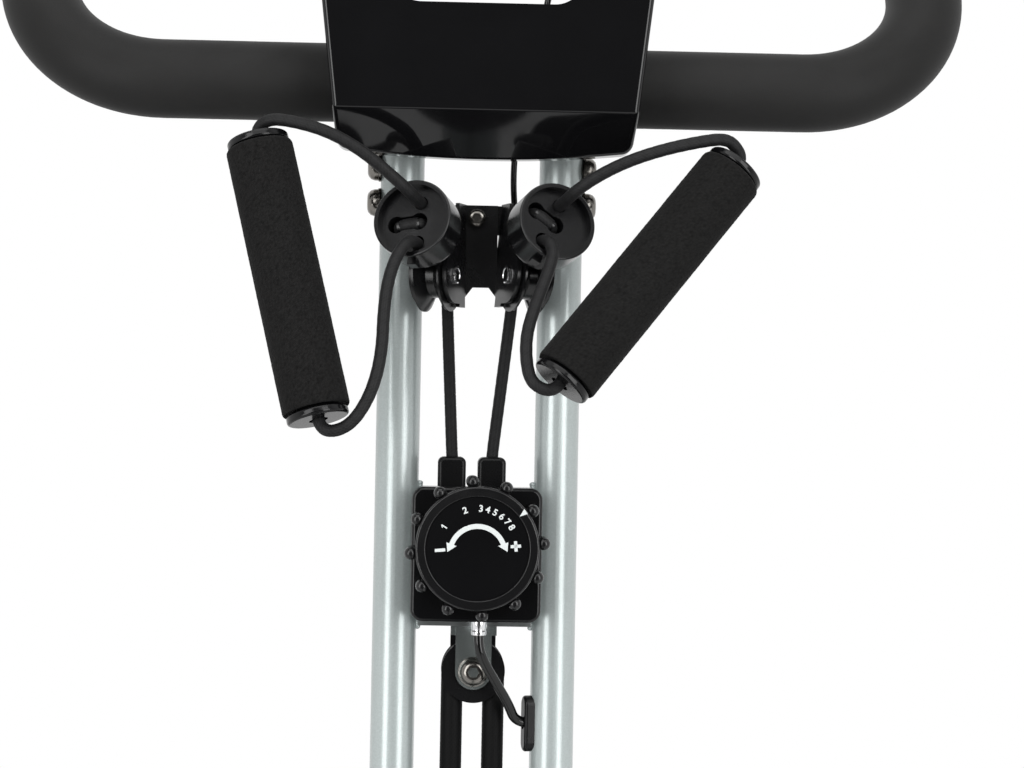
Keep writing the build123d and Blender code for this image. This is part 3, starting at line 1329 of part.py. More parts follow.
def sensor_grommet():
    x = INNER_X
    t, n = SENSOR_CABLE_END[1], SENSOR_CABLE_END[2]
    body = x_rod(x - GROMMET_H, POST_X, t, n, SENSOR_GROMMET_D)
    body -= x_rod(0, 2 * POST_X, t, n, SENSOR_CABLE_D + 4 * CORD_HOLE)
    return body - rod((POST_X, 2 * t, 0), (POST_X, 0, 0), POST_D)


def post_grommets():
    return on_post(group(cord_guide(-1), cord_guide(1), cable_grommet(), sensor_grommet()))


def arm_bands():
    """Both ropes from the pulleys to the block, and the thick loop below it."""
    shapes = []
    for side in (-1, 1):
        meet = rope_meet(side)
        over = (pulley_up(side) + pulley_rear(side)).normalized()
        bend = ThreePointArc(cord_leave(side), pulley_centre(side) + over * PULLEY_ROPE_R, meet)
        section = Plane(origin=cord_leave(side), z_dir=pull_direction(side) * -1) * Circle(CORD_D / 2)
        wrap = sweep(section, path=bend)
        shapes.append(wrap)
        shapes.append(cord_run(meet, guide_point(side), rope_end(side)))
    straight = BLOCK_T - ANCHOR_T
    loop = Plane(origin=(0, ANCHOR_T, BLOCK_N)) * loop_path(straight)
    section = Plane(origin=(LOOP_R, ANCHOR_T, BLOCK_N), z_dir=(0, 1, 0)) * Circle(LOOP_D / 2)
    shapes.append(sweep(section, path=loop))
    return on_post(group(*shapes))


def cord_run(meet, top, end):
    """A tight rope from a pulley to its guide and on to the block."""
    path = FilletPolyline(meet, top, end, radius=8 * CORD_D)
    return sweep(Plane(origin=meet, z_dir=top - meet) * Circle(CORD_D / 2), path=path)


def loop_path(straight):
    """Two straight strands and two half turns."""
    return Wire([
        Line((LOOP_R, 0), (LOOP_R, straight)).edge(),
        ThreePointArc((LOOP_R, straight), (0, straight + LOOP_R), (-LOOP_R, straight)).edge(),
        Line((-LOOP_R, straight), (-LOOP_R, 0)).edge(),
        ThreePointArc((-LOOP_R, 0), (0, -LOOP_R), (LOOP_R, 0)).edge(),
    ])


def band_block():
    """A narrow front plate and a wide back plate, a head that holds the ropes and the loop wheel's bolt."""
    body = Part()
    for n, width in ((BLOCK_PLATE_N, BLOCK_W), (-BLOCK_PLATE_N - BLOCK_PLATE_T, BLOCK_HEAD_W)):
        outline = Pos(0, (BLOCK_TOP + BLOCK_T) / 2) * Rectangle(width, BLOCK_TOP - BLOCK_T)
        outline += disc_at((0, BLOCK_T), width / 2)
        body += Pos(0, 0, n) * extrude(outline, BLOCK_PLATE_T)
    half = BLOCK_HEAD_W / 2
    body += block((-half, half), (BLOCK_HEAD_T, BLOCK_TOP), (-BLOCK_PLATE_N, BLOCK_PLATE_N))
    face = BLOCK_PLATE_N + BLOCK_PLATE_T
    washer = face + BLOCK_PLATE_T / 2
    body += rod((0, BLOCK_T, -face), (0, BLOCK_T, face), LOOP_AXLE_D)
    body += rod((0, BLOCK_T, face), (0, BLOCK_T, washer), BLOCK_WASHER_D)
    head = rod((0, BLOCK_T, washer), (0, BLOCK_T, washer + BLOCK_BOLT_H), BLOCK_BOLT_D)
    body += fillet(head.faces().sort_by(Axis.Z)[-1].edges(), BLOCK_BOLT_H / 2)
    return on_post(Pos(0, 0, BLOCK_N) * body)


def band_pulley():
    """The grooved wheel that the thick loop hangs from."""
    groove = LOOP_D / 2 + GAP / 2
    half = LOOP_WHEEL_W / 2
    rim = LOOP_WHEEL_R
    lip = CHEEK_T / 2
    bore = LOOP_AXLE_D / 2 + RUN
    profile = [
        Line((bore, -half), (rim, -half)),
        Line((rim, -half), (rim, -half + lip)),
        Line((rim, -half + lip), (LOOP_R, -groove)),
        ThreePointArc((LOOP_R, -groove), (LOOP_R - groove, 0), (LOOP_R, groove)),
        Line((LOOP_R, groove), (rim, half - lip)),
        Line((rim, half - lip), (rim, half)),
        Line((rim, half), (bore, half)),
        Line((bore, half), (bore, -half)),
    ]
    wheel = revolve(Plane.XZ * make_face(profile), Axis.Z)
    return on_post(Pos(0, BLOCK_T, BLOCK_N) * wheel)


def band_anchor():
    """A clevis on a bar between the tubes, whose pin holds the loop's lower end."""
    near = LOOP_D / 2 + GAP
    far = near + BLOCK_PLATE_T
    bar_t = ANCHOR_T - LOOP_R - LOOP_D / 2 - GAP - ANCHOR_BAR_D / 2
    outline = Pos(0, (ANCHOR_T + bar_t) / 2) * Rectangle(BLOCK_W, ANCHOR_T - bar_t)
    outline += disc_at((0, ANCHOR_T), BLOCK_W / 2)
    body = x_rod(-INNER_X, INNER_X, bar_t, 0, ANCHOR_BAR_D)
    for n in (near, -far):
        body += Pos(0, 0, n) * extrude(outline, BLOCK_PLATE_T)
    body += rod((0, ANCHOR_T, -far), (0, ANCHOR_T, far), 2 * LOOP_R - LOOP_D - GAP)
    return on_post(Pos(0, 0, BLOCK_N) * body)


# Tension knob

def knob_bracket():
    """A steel plate on the tubes with side flanges and a notch for the cable."""
    plate = block((-PLATE_HALF_W, PLATE_HALF_W), (PLATE_BOTTOM, PLATE_TOP), (PLATE_N, PLATE_N + PLATE_THICK))
    for side in (-1, 1):
        flange = sorted((side * (PLATE_HALF_W - PLATE_THICK), side * PLATE_HALF_W))
        plate += block(flange, (PLATE_BOTTOM, PLATE_TOP), (0, PLATE_N + PLATE_THICK))
        weld = sorted((side * PLATE_HALF_W, side * INNER_X))
        plate += block(weld, (PLATE_BOTTOM, PLATE_TOP), (-PLATE_THICK / 2, PLATE_THICK / 2))
    notch_x = (FERRULE_X - FERRULE_D / 2, FERRULE_X + FERRULE_D / 2)
    notch = block(notch_x, (2 * PLATE_BOTTOM, PLATE_BOTTOM + PLATE_THICK), (PLATE_N, FERRULE_N))
    return on_post(plate - notch)


def knob_housing():
    """The square box under the knob, with a fixed round boss that carries the legend."""
    body = extrude(RectangleRounded(KNOB_BOX_W, KNOB_BOX_H, KNOB_BOX_R), KNOB_BOX_N)
    body = fillet(body.faces().sort_by(Axis.Z)[-1].edges(), KNOB_BOX_R / 3)
    body = Pos(0, PLATE_T, KNOB_BOX_BACK) * body
    legend_n = KNOB_BOX_FRONT + GAP + KNOB_H - LEGEND_SUNK
    body += rod((0, KNOB_T, KNOB_BOX_FRONT), (0, KNOB_T, legend_n), 2 * LEGEND_R)
    ferrule_end = (FERRULE_X, PLATE_T - KNOB_BOX_H / 2, FERRULE_N)
    body -= rod(ferrule_end, (FERRULE_X, PLATE_T - KNOB_BOX_H / 2 + FERRULE_D, FERRULE_N), FERRULE_D)
    return on_post(body)


def tension_knob():
    """A ring with bumps on its rim, turning round the legend's boss."""
    base = KNOB_BOX_FRONT + GAP
    top = base + KNOB_H
    body = rod((0, KNOB_T, base), (0, KNOB_T, top), 2 * KNOB_R)
    body = fillet(body.faces().sort_by(Axis.Z)[-1].edges(), KNOB_EDGE_R)
    for bump in range(KNOB_BUMPS):
        turn = KNOB_BUMP_TURN + FULL_TURN * bump / KNOB_BUMPS
        place = on_circle((0, KNOB_T), KNOB_R + KNOB_BUMP_OUT, turn)
        ridge = rod((*place, base), (*place, top - KNOB_BUMP_R), 2 * KNOB_BUMP_R)
        body += fillet(ridge.faces().sort_by(Axis.Z)[-1].edges(), KNOB_BUMP_R / 2)
    body -= rod((0, KNOB_T, base - GAP), (0, KNOB_T, top + GAP), 2 * (LEGEND_R + RUN))
    inner_rim = body.faces().sort_by(Axis.Z)[-1].edges().sort_by(SortBy.LENGTH)[0]
    body = fillet(inner_rim, KNOB_EDGE_R / 2)
    return on_post(body)


def tension_cable():
    """The cable from the knob's ferrule to the grommet on the right tube."""
    middle, outer = grommet_axis()
    out = (outer - middle).normalized()
    entry = middle + out * (POST_R + GROMMET_H + CABLE_LEAD)
    inside = middle + out * (POST_R - POST_WALL - GAP)
    points = [Vector(FERRULE_X, FERRULE_T, FERRULE_N)]
    points += [Vector(*point) for point in TENSION_CABLE_ROUTE]
    points += [entry, inside]
    return on_post(cord_tube("tension_cable", points, CABLE_D))


def cable_ferrule():
    top = PLATE_T - KNOB_BOX_H / 2 + FERRULE_D
    return on_post(rod((FERRULE_X, FERRULE_T, FERRULE_N), (FERRULE_X, top, FERRULE_N), FERRULE_D))


# Fasteners that share a node

def post_fasteners():
    shapes = [stem_bolt(side, t) for side in (-1, 1) for t in STEM_BOLT_TS]
    shapes += [pulley_rivet(side) for side in (-1, 1)]
    shapes += [bracket_bolt(), cable_ferrule(), band_anchor()]
    return group(*shapes)


def frame_fasteners():
    shapes = [housing_screw(side, place) for side in (-1, 1) for place in housing_screws()]
    shapes += [cradle_bolt(-CRADLE_BOLT_X), cradle_bolt(CRADLE_BOLT_X)]
    shapes += [wheel_axle(-1), wheel_axle(1)]
    return group(*shapes)


def build_parts():
    """Every node of the bike, by name."""
    return {
        "main_tube": main_tube(),
        "front_stabilizer": front_stabilizer(),
        "front_end_caps": front_end_caps(),
        "housing_left": housing_half(-1),
        "housing_right": housing_half(1),
        "drive_mount": drive_mount(),
        "drive_belt": drive_belt(),
        "crank_bearings": group(crank_bearing(-1), crank_bearing(1)),
        "frame_fasteners": frame_fasteners(),
        "frame_bushes": group(pivot_bush(-1), pivot_bush(1), seat_bush()),
        "pivot_axle": pivot_axle(),
        "post_tube_left": post_tube(-1),
        "post_tube_right": post_tube(1),
        "rear_stabilizer": rear_stabilizer(),
        "rear_end_caps": group(end_cap(-1, REAR_Y, REAR_STABILIZER_L), end_cap(1, REAR_Y, REAR_STABILIZER_L)),
        "handlebar_tube": handlebar_tube(),
        "handlebar_foam": handlebar_foam(),
        "handlebar_stem": handlebar_stem(),
        "post_fasteners": post_fasteners(),
        "device_holder": device_holder(),
        "console_body": console_body(),
        "console_lens": console_lens(),
        "console_button": console_button(),
        "sensor_cable": sensor_cable(),
        "pulley_bracket": pulley_bracket(),
        "post_grommets": post_grommets(),
        "knob_bracket": knob_bracket(),
        "knob_housing": knob_housing(),
        "tension_knob": tension_knob(),
        "tension_cable": tension_cable(),
        "arm_bands": arm_bands(),
        "band_block": band_block(),
        "band_pulley": band_pulley(),
        "cord_pulley_left": cord_pulley(-1),
        "cord_pulley_right": cord_pulley(1),
        "lead_cord_left": lead_cord(-1),
        "lead_cord_right": lead_cord(1),
        "cup_left": cup_node(-1),
        "cup_right": cup_node(1),
        "handle_cord_left": handle_cord(-1),
        "handle_cord_right": handle_cord(1),
        "grip_left": grip(-1),
        "grip_right": grip(1),
        "grip_core_left": grip_core(-1),
        "grip_core_right": grip_core(1),
        "crank_shafts": crank_shafts(),
        "crank_arms": group(crank_arm(-1), crank_arm(1)),
        "drive_pulley": drive_pulley(),
        "pedal_left": pedal(-1),
        "pedal_right": pedal(1),
        "pedal_strap_left": pedal_strap(-1),
        "pedal_strap_right": pedal_strap(1),
        "flywheel": flywheel(),
        "magnet_bracket": magnet_bracket(),
        "seat_post": seat_post(),
        "seat_cushion": seat_cushion(),
        "seat_pin": seat_pin(),
        "fold_pin": fold_pin(),
        "transport_wheel_left": transport_wheel(-1),
        "transport_wheel_right": transport_wheel(1),
    }


def main():
    os.makedirs("parts", exist_ok=True)
    for name, shape in build_parts().items():
        export_step(shape, os.path.join("parts", name + ".step"))


if __name__ == "__main__":
    main()
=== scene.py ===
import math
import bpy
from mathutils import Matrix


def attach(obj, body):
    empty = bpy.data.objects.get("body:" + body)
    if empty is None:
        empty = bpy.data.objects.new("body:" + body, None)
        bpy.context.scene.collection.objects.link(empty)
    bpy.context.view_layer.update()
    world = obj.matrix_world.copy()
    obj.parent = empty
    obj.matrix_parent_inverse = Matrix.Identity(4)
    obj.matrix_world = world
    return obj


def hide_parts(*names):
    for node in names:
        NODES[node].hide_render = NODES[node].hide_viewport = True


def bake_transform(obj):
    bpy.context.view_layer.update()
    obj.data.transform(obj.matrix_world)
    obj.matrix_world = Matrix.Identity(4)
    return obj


bl_info = {
    "name": "Arm Band Exercise Bike",
    "version": (1, 0, 0),
    "blender": (4, 5, 0),
    "location": "3D View > Sidebar > Bike",
    "description": "Dresses a folding exercise bike: paint, foam, ropes, saddle and dial",
    "category": "Object",
}

import bmesh
import bpy
from bpy.props import FloatProperty, FloatVectorProperty, IntProperty, PointerProperty
from mathutils import Matrix, Vector

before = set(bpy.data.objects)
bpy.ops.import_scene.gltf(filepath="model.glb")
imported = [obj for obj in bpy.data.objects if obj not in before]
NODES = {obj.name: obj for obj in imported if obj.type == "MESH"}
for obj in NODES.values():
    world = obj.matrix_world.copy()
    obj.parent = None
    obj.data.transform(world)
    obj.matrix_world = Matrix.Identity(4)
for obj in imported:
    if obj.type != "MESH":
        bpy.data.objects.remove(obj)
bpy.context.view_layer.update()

# The post's own frame: x to the rider's right, t up the post, n towards the rider, in millimetres
MM = 0.001
POST_LEAN = math.radians(22.0)
POST_UP = Vector((0.0, math.sin(POST_LEAN), math.cos(POST_LEAN)))
POST_OUT = Vector((0.0, -math.cos(POST_LEAN), math.sin(POST_LEAN)))
POST_ORIGIN = Vector((0.0, 0.020, 0.450)) + POST_UP * 0.5716

# How far a handle reaches along a smooth quarter turn, as a share of its radius
ARC_HANDLE = 0.5523

# Bar, grips and dial
BAR_T = -2.0
BAR_N = 15.0
BAR_HALF_STRAIGHT = 159.0
BAR_BEND_R = 68.0
BAR_TILT = math.radians(33.0)
BAR_ARM_L = 92.0
FOAM_INNER_X = 42.0
LEFT_GRIP = ((-108, -40, 62), (-76.8, -166.2, 88))
RIGHT_GRIP = ((118.4, -47.7, 62), (38.5, -148, 88))
DIAL_T = -230.5
DIAL_N = 53.8
KNOB_TOP_N = 55.0
KNOB_BUMPS = 12
KNOB_BUMP_TURN = math.radians(5.0)
KNOB_BUMP_RING = 32.2
KNOB_BUMP_N = 48.0

# Routes of the cords in the post's frame, and their real lengths and thicknesses in metres
LEFT_CORD_L = 0.3914
RIGHT_CORD_L = 0.3739
SENSOR_L = 0.1878
SENSOR_D = 0.0032
TENSION_L = 0.0623
TENSION_D = 0.0050
LEFT_HANDLE_ROUTE = [
    (-26, -68.2, 42.9), (-33.3, -62.3, 62.8), (-47, -51, 69), (-60, -41, 70.5), (-75, -33, 70.5),
    (-91, -28.5, 68.5), (-103.5, -27, 65.5), (-109.9, -32.4, 60.4), (-107.5, -42, 62.4),
    (-77.3, -164.2, 87.6), (-74.9, -173.8, 89.6), (-68.8, -175.5, 90.3), (-60.5, -171.5, 90),
    (-53.5, -161, 88.5), (-49, -148, 86.3), (-47, -134, 83.5), (-46.8, -120, 80.5), (-45.5, -106, 77.5),
    (-42.5, -94.5, 74), (-38, -86, 69.5), (-33.1, -82.9, 63.5), (-27.5, -87.5, 48.1),
]
RIGHT_HANDLE_ROUTE = [
    (32.4, -67.9, 40.4), (39.7, -62, 60.3), (46, -56.5, 69), (58, -49, 71), (71, -43, 72), (86, -38, 71.5),
    (102, -34, 69.5), (115.2, -31.6, 65.5), (121.2, -36.1, 62.5), (123.3, -41.6, 60.4), (118.7, -47.3, 61.9),
    (38.2, -148.4, 88.1), (33.6, -154.1, 89.6), (27.9, -153.9, 90), (22.2, -149.6, 89), (20.2, -139, 87),
    (20.5, -128, 84.5), (23.5, -117, 81.5), (27.5, -106, 78), (31.5, -95.5, 74), (33.5, -87, 69.5),
    (29.7, -80.2, 63.9), (24.1, -84.8, 48.5),
]
SENSOR_ROUTE = [
    (34, 80, 34), (33, 55, 34.5), (29, 32, 35.5), (24, 10, 36), (19, -10, 34), (16, -30, 20), (15.5, -46, 6),
    (16.5, -62, 2), (19, -77, 0), (24, -87, 0), (33, -87, 0),
]
TENSION_ROUTE = [
    (2, -274.8, 22), (2, -280, 22), (4.5, -287.5, 20), (10.6, -298, 15), (17.6, -309.5, 9),
    (21.9, -320.2, 3.85), (31.2, -320.2, 1.87),
]

# The view of the photograph, in the post's frame
VIEW_TURN = math.radians(2.0)
VIEW_RISE = math.radians(1.0)
VIEW_ROLL = math.radians(1.05)
VIEW_TARGET = (17.0, -150.0, 0.0)
VIEW_DISTANCE = 1200.0
VIEW_LENS = 83.7


def post_place(point):
    x, t, n = point
    return POST_ORIGIN + (Vector((x, 0.0, 0.0)) + POST_UP * t + POST_OUT * n) * MM


def post_way(way):
    x, t, n = way
    return Vector((x, 0.0, 0.0)) + POST_UP * t + POST_OUT * n


# Settings

def colour(name, description, default):
    return FloatVectorProperty(name=name, description=description, subtype="COLOR", min=0.0, max=1.0,
                               default=default)


def length(name, description, default):
    return FloatProperty(name=name, description=description, unit="LENGTH", min=0.0, default=default)


class BikePaintSettings(bpy.types.PropertyGroup):
    silver: colour("Silver coat", "Colour of the tubes", (0.41, 0.455, 0.45))
    black: colour("Black coat", "Colour of the brackets", (0.006, 0.006, 0.0065))
    flake: length("Flake", "Size of a metal flake in the silver coat", 0.0006)


class BikeFoamSettings(bpy.types.PropertyGroup):
    colour: colour("Foam", "Colour of the foam sleeves", (0.012, 0.0118, 0.0116))
    bar_radius: length("Bar foam radius", "Outside of the foam on the bar", 0.0195)
    grip_radius: length("Grip radius", "Outside of the foam on the pull handles", 0.01625)
    cell: length("Cell", "Size of a foam cell on the pull handles", 0.0011)
    relief: length("Relief", "Depth of the cells on the pull handles", 0.00022)


class BikeCordSettings(bpy.types.PropertyGroup):
    colour: colour("Sleeve", "Colour of the woven sleeve", (0.011, 0.011, 0.0115))
    rope_radius: length("Rope radius", "Outside of the arm ropes", 0.003)
    loop_radius: length("Loop radius", "Outside of the thick elastic loop", 0.0055)
    pitch: length("Pitch", "Length of one turn of a yarn", 0.0075)
    yarns: IntProperty(name="Yarns", description="Yarns each way round the sleeve", min=3, max=24, default=8)
    relief: length("Relief", "Depth of the weave", 0.00022)


class BikeDialSettings(bpy.types.PropertyGroup):
    print_colour: colour("Print", "Colour of the numbers and marks", (0.60, 0.63, 0.625))
    figure_height: length("Figure height", "Height of a number", 0.0044)
    figure_ring: length("Figure ring", "Radius of the ring of numbers", 0.0193)


class BikeSaddleSettings(bpy.types.PropertyGroup):
    colour: colour("Vinyl", "Colour of the saddle's cover", (0.018, 0.018, 0.019))
    stitch: length("Stitch", "Length of one stitch", 0.0042)
    swell: length("Swell", "Furthest that the padding swells", 0.007)


class BikeStageSettings(bpy.types.PropertyGroup):
    floor: colour("Floor", "Colour of the floor", (0.86, 0.86, 0.86))
    key: FloatProperty(name="Side lamps", description="Power of each side lamp", unit="POWER", min=0.0,
                       default=17.0)
    fill: FloatProperty(name="Top lamp", description="Power of the top lamp", unit="POWER", min=0.0,
                        default=20.0)
    sky: FloatProperty(name="Sky", description="Strength of the light from all round", min=0.0, default=0.35)


SETTINGS = {
    "bike_paint": BikePaintSettings,
    "bike_foam": BikeFoamSettings,
    "bike_cords": BikeCordSettings,
    "bike_dial": BikeDialSettings,
    "bike_saddle": BikeSaddleSettings,
    "bike_stage": BikeStageSettings,
}


# Node trees

def node(tree, kind, inputs=None, **settings):
    """A node with its settings, and its inputs set to values or joined to sockets."""
    made = tree.nodes.new(kind)
    for name, value in settings.items():
        setattr(made, name, value)
    for key, value in (inputs or {}).items():
        if isinstance(value, bpy.types.NodeSocket):
            tree.links.new(value, made.inputs[key])
        else:
            made.inputs[key].default_value = value
    return made


def calc(tree, operation, first, second=0.0):
    return node(tree, "ShaderNodeMath", {0: first, 1: second}, operation=operation).outputs[0]


def spread(tree, value, low, high):
    """A value from 0 to 1, spread from low to high."""
    return node(tree, "ShaderNodeMapRange", {"Value": value, "To Min": low, "To Max": high}).outputs["Result"]


def blend_colours(tree, share, first, second):
    made = node(tree, "ShaderNodeMix", data_type="RGBA")
    tree.links.new(share, made.inputs[0])
    made.inputs[6].default_value = (*first, 1.0)
    made.inputs[7].default_value = (*second, 1.0)
    return made.outputs[2]


def shaded(tint, share):
    return tuple(min(1.0, part * share) for part in tint)


def shader_group(name, inputs, outputs):
    """A shader node group with named values in and out."""
    tree = bpy.data.node_groups.new(name, "ShaderNodeTree")
    for label, default in inputs:
        tree.interface.new_socket(label, in_out="INPUT",
                                  socket_type="NodeSocketFloat").default_value = default
    for label in outputs:
        tree.interface.new_socket(label, in_out="OUTPUT", socket_type="NodeSocketFloat")
    return tree, node(tree, "NodeGroupInput").outputs, node(tree, "NodeGroupOutput").inputs


def moulded_grain():
    """Fine pits and soft blotches of a moulded surface."""
    if "moulded grain" in bpy.data.node_groups:
        return bpy.data.node_groups["moulded grain"]
    tree, given, out = shader_group("moulded grain", [("Grain", 1800.0), ("Blotch", 24.0)],
                                    ["Height", "Tone"])
    place = node(tree, "ShaderNodeTexCoord").outputs["Object"]
    fine = node(tree, "ShaderNodeTexNoise",
                {"Vector": place, "Scale": given["Grain"], "Detail": 3.0}).outputs[0]
    pits = node(tree, "ShaderNodeTexVoronoi", {"Vector": place, "Scale": given["Grain"]}).outputs["Distance"]
    blotch = node(tree, "ShaderNodeTexNoise",
                  {"Vector": place, "Scale": given["Blotch"], "Detail": 4.0}).outputs[0]
    height = calc(tree, "ADD", calc(tree, "MULTIPLY", fine, 0.6), calc(tree, "MULTIPLY", pits, 0.5))
    tree.links.new(height, out["Height"])
    tree.links.new(spread(tree, blotch, -0.2, 1.2), out["Tone"])
    return tree


def handling_marks():
    """Where hands and dust have dulled or brightened a surface."""
    if "handling marks" in bpy.data.node_groups:
        return bpy.data.node_groups["handling marks"]
    tree, given, out = shader_group("handling marks", [("Size", 14.0), ("Cover", 0.5)], ["Mask"])
    place = node(tree, "ShaderNodeTexCoord").outputs["Object"]
    smear = node(tree, "ShaderNodeTexNoise", {"Vector": place, "Scale": given["Size"], "Detail": 6.0,
                                              "Roughness": 0.62, "Distortion": 0.6}).outputs[0]
    edge = calc(tree, "SUBTRACT", 1.0, given["Cover"])
    soft = calc(tree, "ADD", edge, 0.22)
    mask = node(tree, "ShaderNodeMapRange", {"Value": smear, "From Min": edge, "From Max": soft},
                interpolation_type="SMOOTHSTEP")
    tree.links.new(mask.outputs["Result"], out["Mask"])
    return tree


def metal_flake():
    """Flakes in a metallic coat, and the coat's soft peel."""
    if "metal flake" in bpy.data.node_groups:
        return bpy.data.node_groups["metal flake"]
    tree, given, out = shader_group("metal flake", [("Flakes", 1600.0), ("Peel", 260.0)], ["Tone", "Height"])
    place = node(tree, "ShaderNodeTexCoord").outputs["Object"]
    cells = node(tree, "ShaderNodeTexVoronoi", {"Vector": place, "Scale": given["Flakes"]})
    split = node(tree, "ShaderNodeSeparateColor", {"Color": cells.outputs["Color"]})
    peel = node(tree, "ShaderNodeTexNoise",
                {"Vector": place, "Scale": given["Peel"], "Detail": 1.0}).outputs[0]
    tree.links.new(split.outputs[0], out["Tone"])
    tree.links.new(peel, out["Height"])
    return tree


# Materials

def begin(name):
    """A new material, its tree and its shader."""
    material = bpy.data.materials.new(name)
    material.use_nodes = True
    tree = material.node_tree
    tree.nodes.clear()
    out = node(tree, "ShaderNodeOutputMaterial")
    shader = node(tree, "ShaderNodeBsdfPrincipled")
    tree.links.new(shader.outputs["BSDF"], out.inputs["Surface"])
    return material, tree, shader


def effect(tree, group, **values):
    """The outputs of a shared effect, placed with its own values."""
    made = node(tree, "ShaderNodeGroup", node_tree=group)
    for key, value in values.items():
        made.inputs[key].default_value = value
    return made.outputs


def dress(tree, shader, tint, gloss, relief=None, **plain):
    """Joins a shader to its tint, gloss and relief (height, strength, depth), and sets its plain values."""
    tree.links.new(tint, shader.inputs["Base Color"])
    tree.links.new(gloss, shader.inputs["Roughness"])
    if relief:
        height, strength, depth = relief
        bump = node(tree, "ShaderNodeBump", {"Height": height, "Strength": strength, "Distance": depth})
        tree.links.new(bump.outputs["Normal"], shader.inputs["Normal"])
    for key, value in plain.items():
        shader.inputs[key.replace("_", " ")].default_value = value


def grained(name, tint, rough, grain, depth, swing=0.25, **plain):
    """A moulded or cast surface: grain in its relief, blotches in its tone and handling in its gloss."""
    material, tree, shader = begin(name)
    grains = effect(tree, moulded_grain(), Grain=grain)
    marks = effect(tree, handling_marks())
    base = blend_colours(tree, grains["Tone"], shaded(tint, 1.0 - swing), shaded(tint, 1.0 + swing))
    gloss = spread(tree, marks["Mask"], *rough)
    dress(tree, shader, base, gloss, (grains["Height"], 0.6, depth), **plain)
    return material


def silver_coat():
    """Metal flakes under a clear coat."""
    paint = bpy.context.scene.bike_paint
    material, tree, shader = begin("silver_coat")
    flakes = effect(tree, metal_flake(), Flakes=1.0 / paint.flake)
    marks = effect(tree, handling_marks())
    base = blend_colours(tree, flakes["Tone"], shaded(paint.silver, 0.95), shaded(paint.silver, 1.05))
    gloss = spread(tree, marks["Mask"], 0.285, 0.31)
    dress(tree, shader, base, gloss, (flakes["Height"], 0.15, 0.00002),
          Metallic=0.28, Coat_Weight=0.35, Coat_Roughness=0.16)
    return material


def foam_skin():
    tint = tuple(bpy.context.scene.bike_foam.colour)
    return grained("foam_skin", tint, (0.52, 0.64), 2600.0, 0.00012, Specular_IOR_Level=0.16)


def grip_foam():
    """Open foam, with painted shade darkening its sunken cells."""
    foam = bpy.context.scene.bike_foam
    material, tree, shader = begin("grip_foam")
    cells = node(tree, "ShaderNodeAttribute", attribute_name="cell").outputs["Fac"]
    grains = effect(tree, moulded_grain(), Grain=2.2 / foam.cell)
    # Painted shade: the foam's colour drops to a third where the cells sink deepest
    base = blend_colours(tree, cells, shaded(foam.colour, 0.3), shaded(foam.colour, 1.2))
    gloss = spread(tree, grains["Tone"], 0.88, 0.98)
    dress(tree, shader, base, gloss, (grains["Height"], 0.8, 0.0003),
          Specular_IOR_Level=0.08, Sheen_Weight=0.03, Sheen_Roughness=0.5)
    return material


def woven_sleeve(name, share, shine):
    """Yarns raised by the weave, with painted shade darkening the gaps between them."""
    tint = shaded(bpy.context.scene.bike_cords.colour, share)
    material, tree, shader = begin(name)
    raised = node(tree, "ShaderNodeAttribute", attribute_name="weave").outputs["Fac"]
    grains = effect(tree, moulded_grain(), Grain=5200.0)
    # Painted shade: the sleeve's colour drops far down in the sunk gaps of the weave
    base = blend_colours(tree, raised, shaded(tint, 0.15), shaded(tint, 1.1))
    gloss = spread(tree, grains["Tone"], 0.48, 0.62)
    dress(tree, shader, base, gloss, (grains["Height"], 0.5, 0.00008),
          Specular_IOR_Level=shine, Sheen_Weight=0.1 * shine)
    return material


def saddle_vinyl():
    """Pebbled vinyl, with painted shade darkening its creases."""
    tint = tuple(bpy.context.scene.bike_saddle.colour)
    material, tree, shader = begin("saddle_vinyl")
    place = node(tree, "ShaderNodeTexCoord").outputs["Object"]
    creases = node(tree, "ShaderNodeTexVoronoi", {"Vector": place, "Scale": 620.0},
                   feature="DISTANCE_TO_EDGE")
    pebble = node(tree, "ShaderNodeMapRange",
                  {"Value": creases.outputs["Distance"], "From Max": 0.12}).outputs[0]
    marks = effect(tree, handling_marks())
    # Painted shade: the vinyl's colour darkens down in the creases between the pebbles
    base = blend_colours(tree, pebble, shaded(tint, 0.6), shaded(tint, 1.15))
    gloss = spread(tree, marks["Mask"], 0.42, 0.55)
    dress(tree, shader, base, gloss, (pebble, 0.5, 0.00025), Specular_IOR_Level=0.25)
    return material


def bright_metal(name, tint, rough, streak):
    """Plated or brushed metal, streaked along one way."""
    material, tree, shader = begin(name)
    place = node(tree, "ShaderNodeTexCoord").outputs["Object"]
    turned = node(tree, "ShaderNodeMapping", {"Vector": place, "Scale": (1.0, streak, streak)}).outputs[0]
    lines = node(tree, "ShaderNodeTexNoise", {"Vector": turned, "Scale": 420.0, "Detail": 4.0}).outputs[0]
    marks = effect(tree, handling_marks())
    base = blend_colours(tree, lines, shaded(tint, 0.88), shaded(tint, 1.08))
    dulled = calc(tree, "MULTIPLY", marks["Mask"], 0.06)
    gloss = calc(tree, "ADD", spread(tree, lines, *rough), dulled)
    dress(tree, shader, base, gloss, (lines, 0.15, 0.00003), Metallic=1.0)
    return material


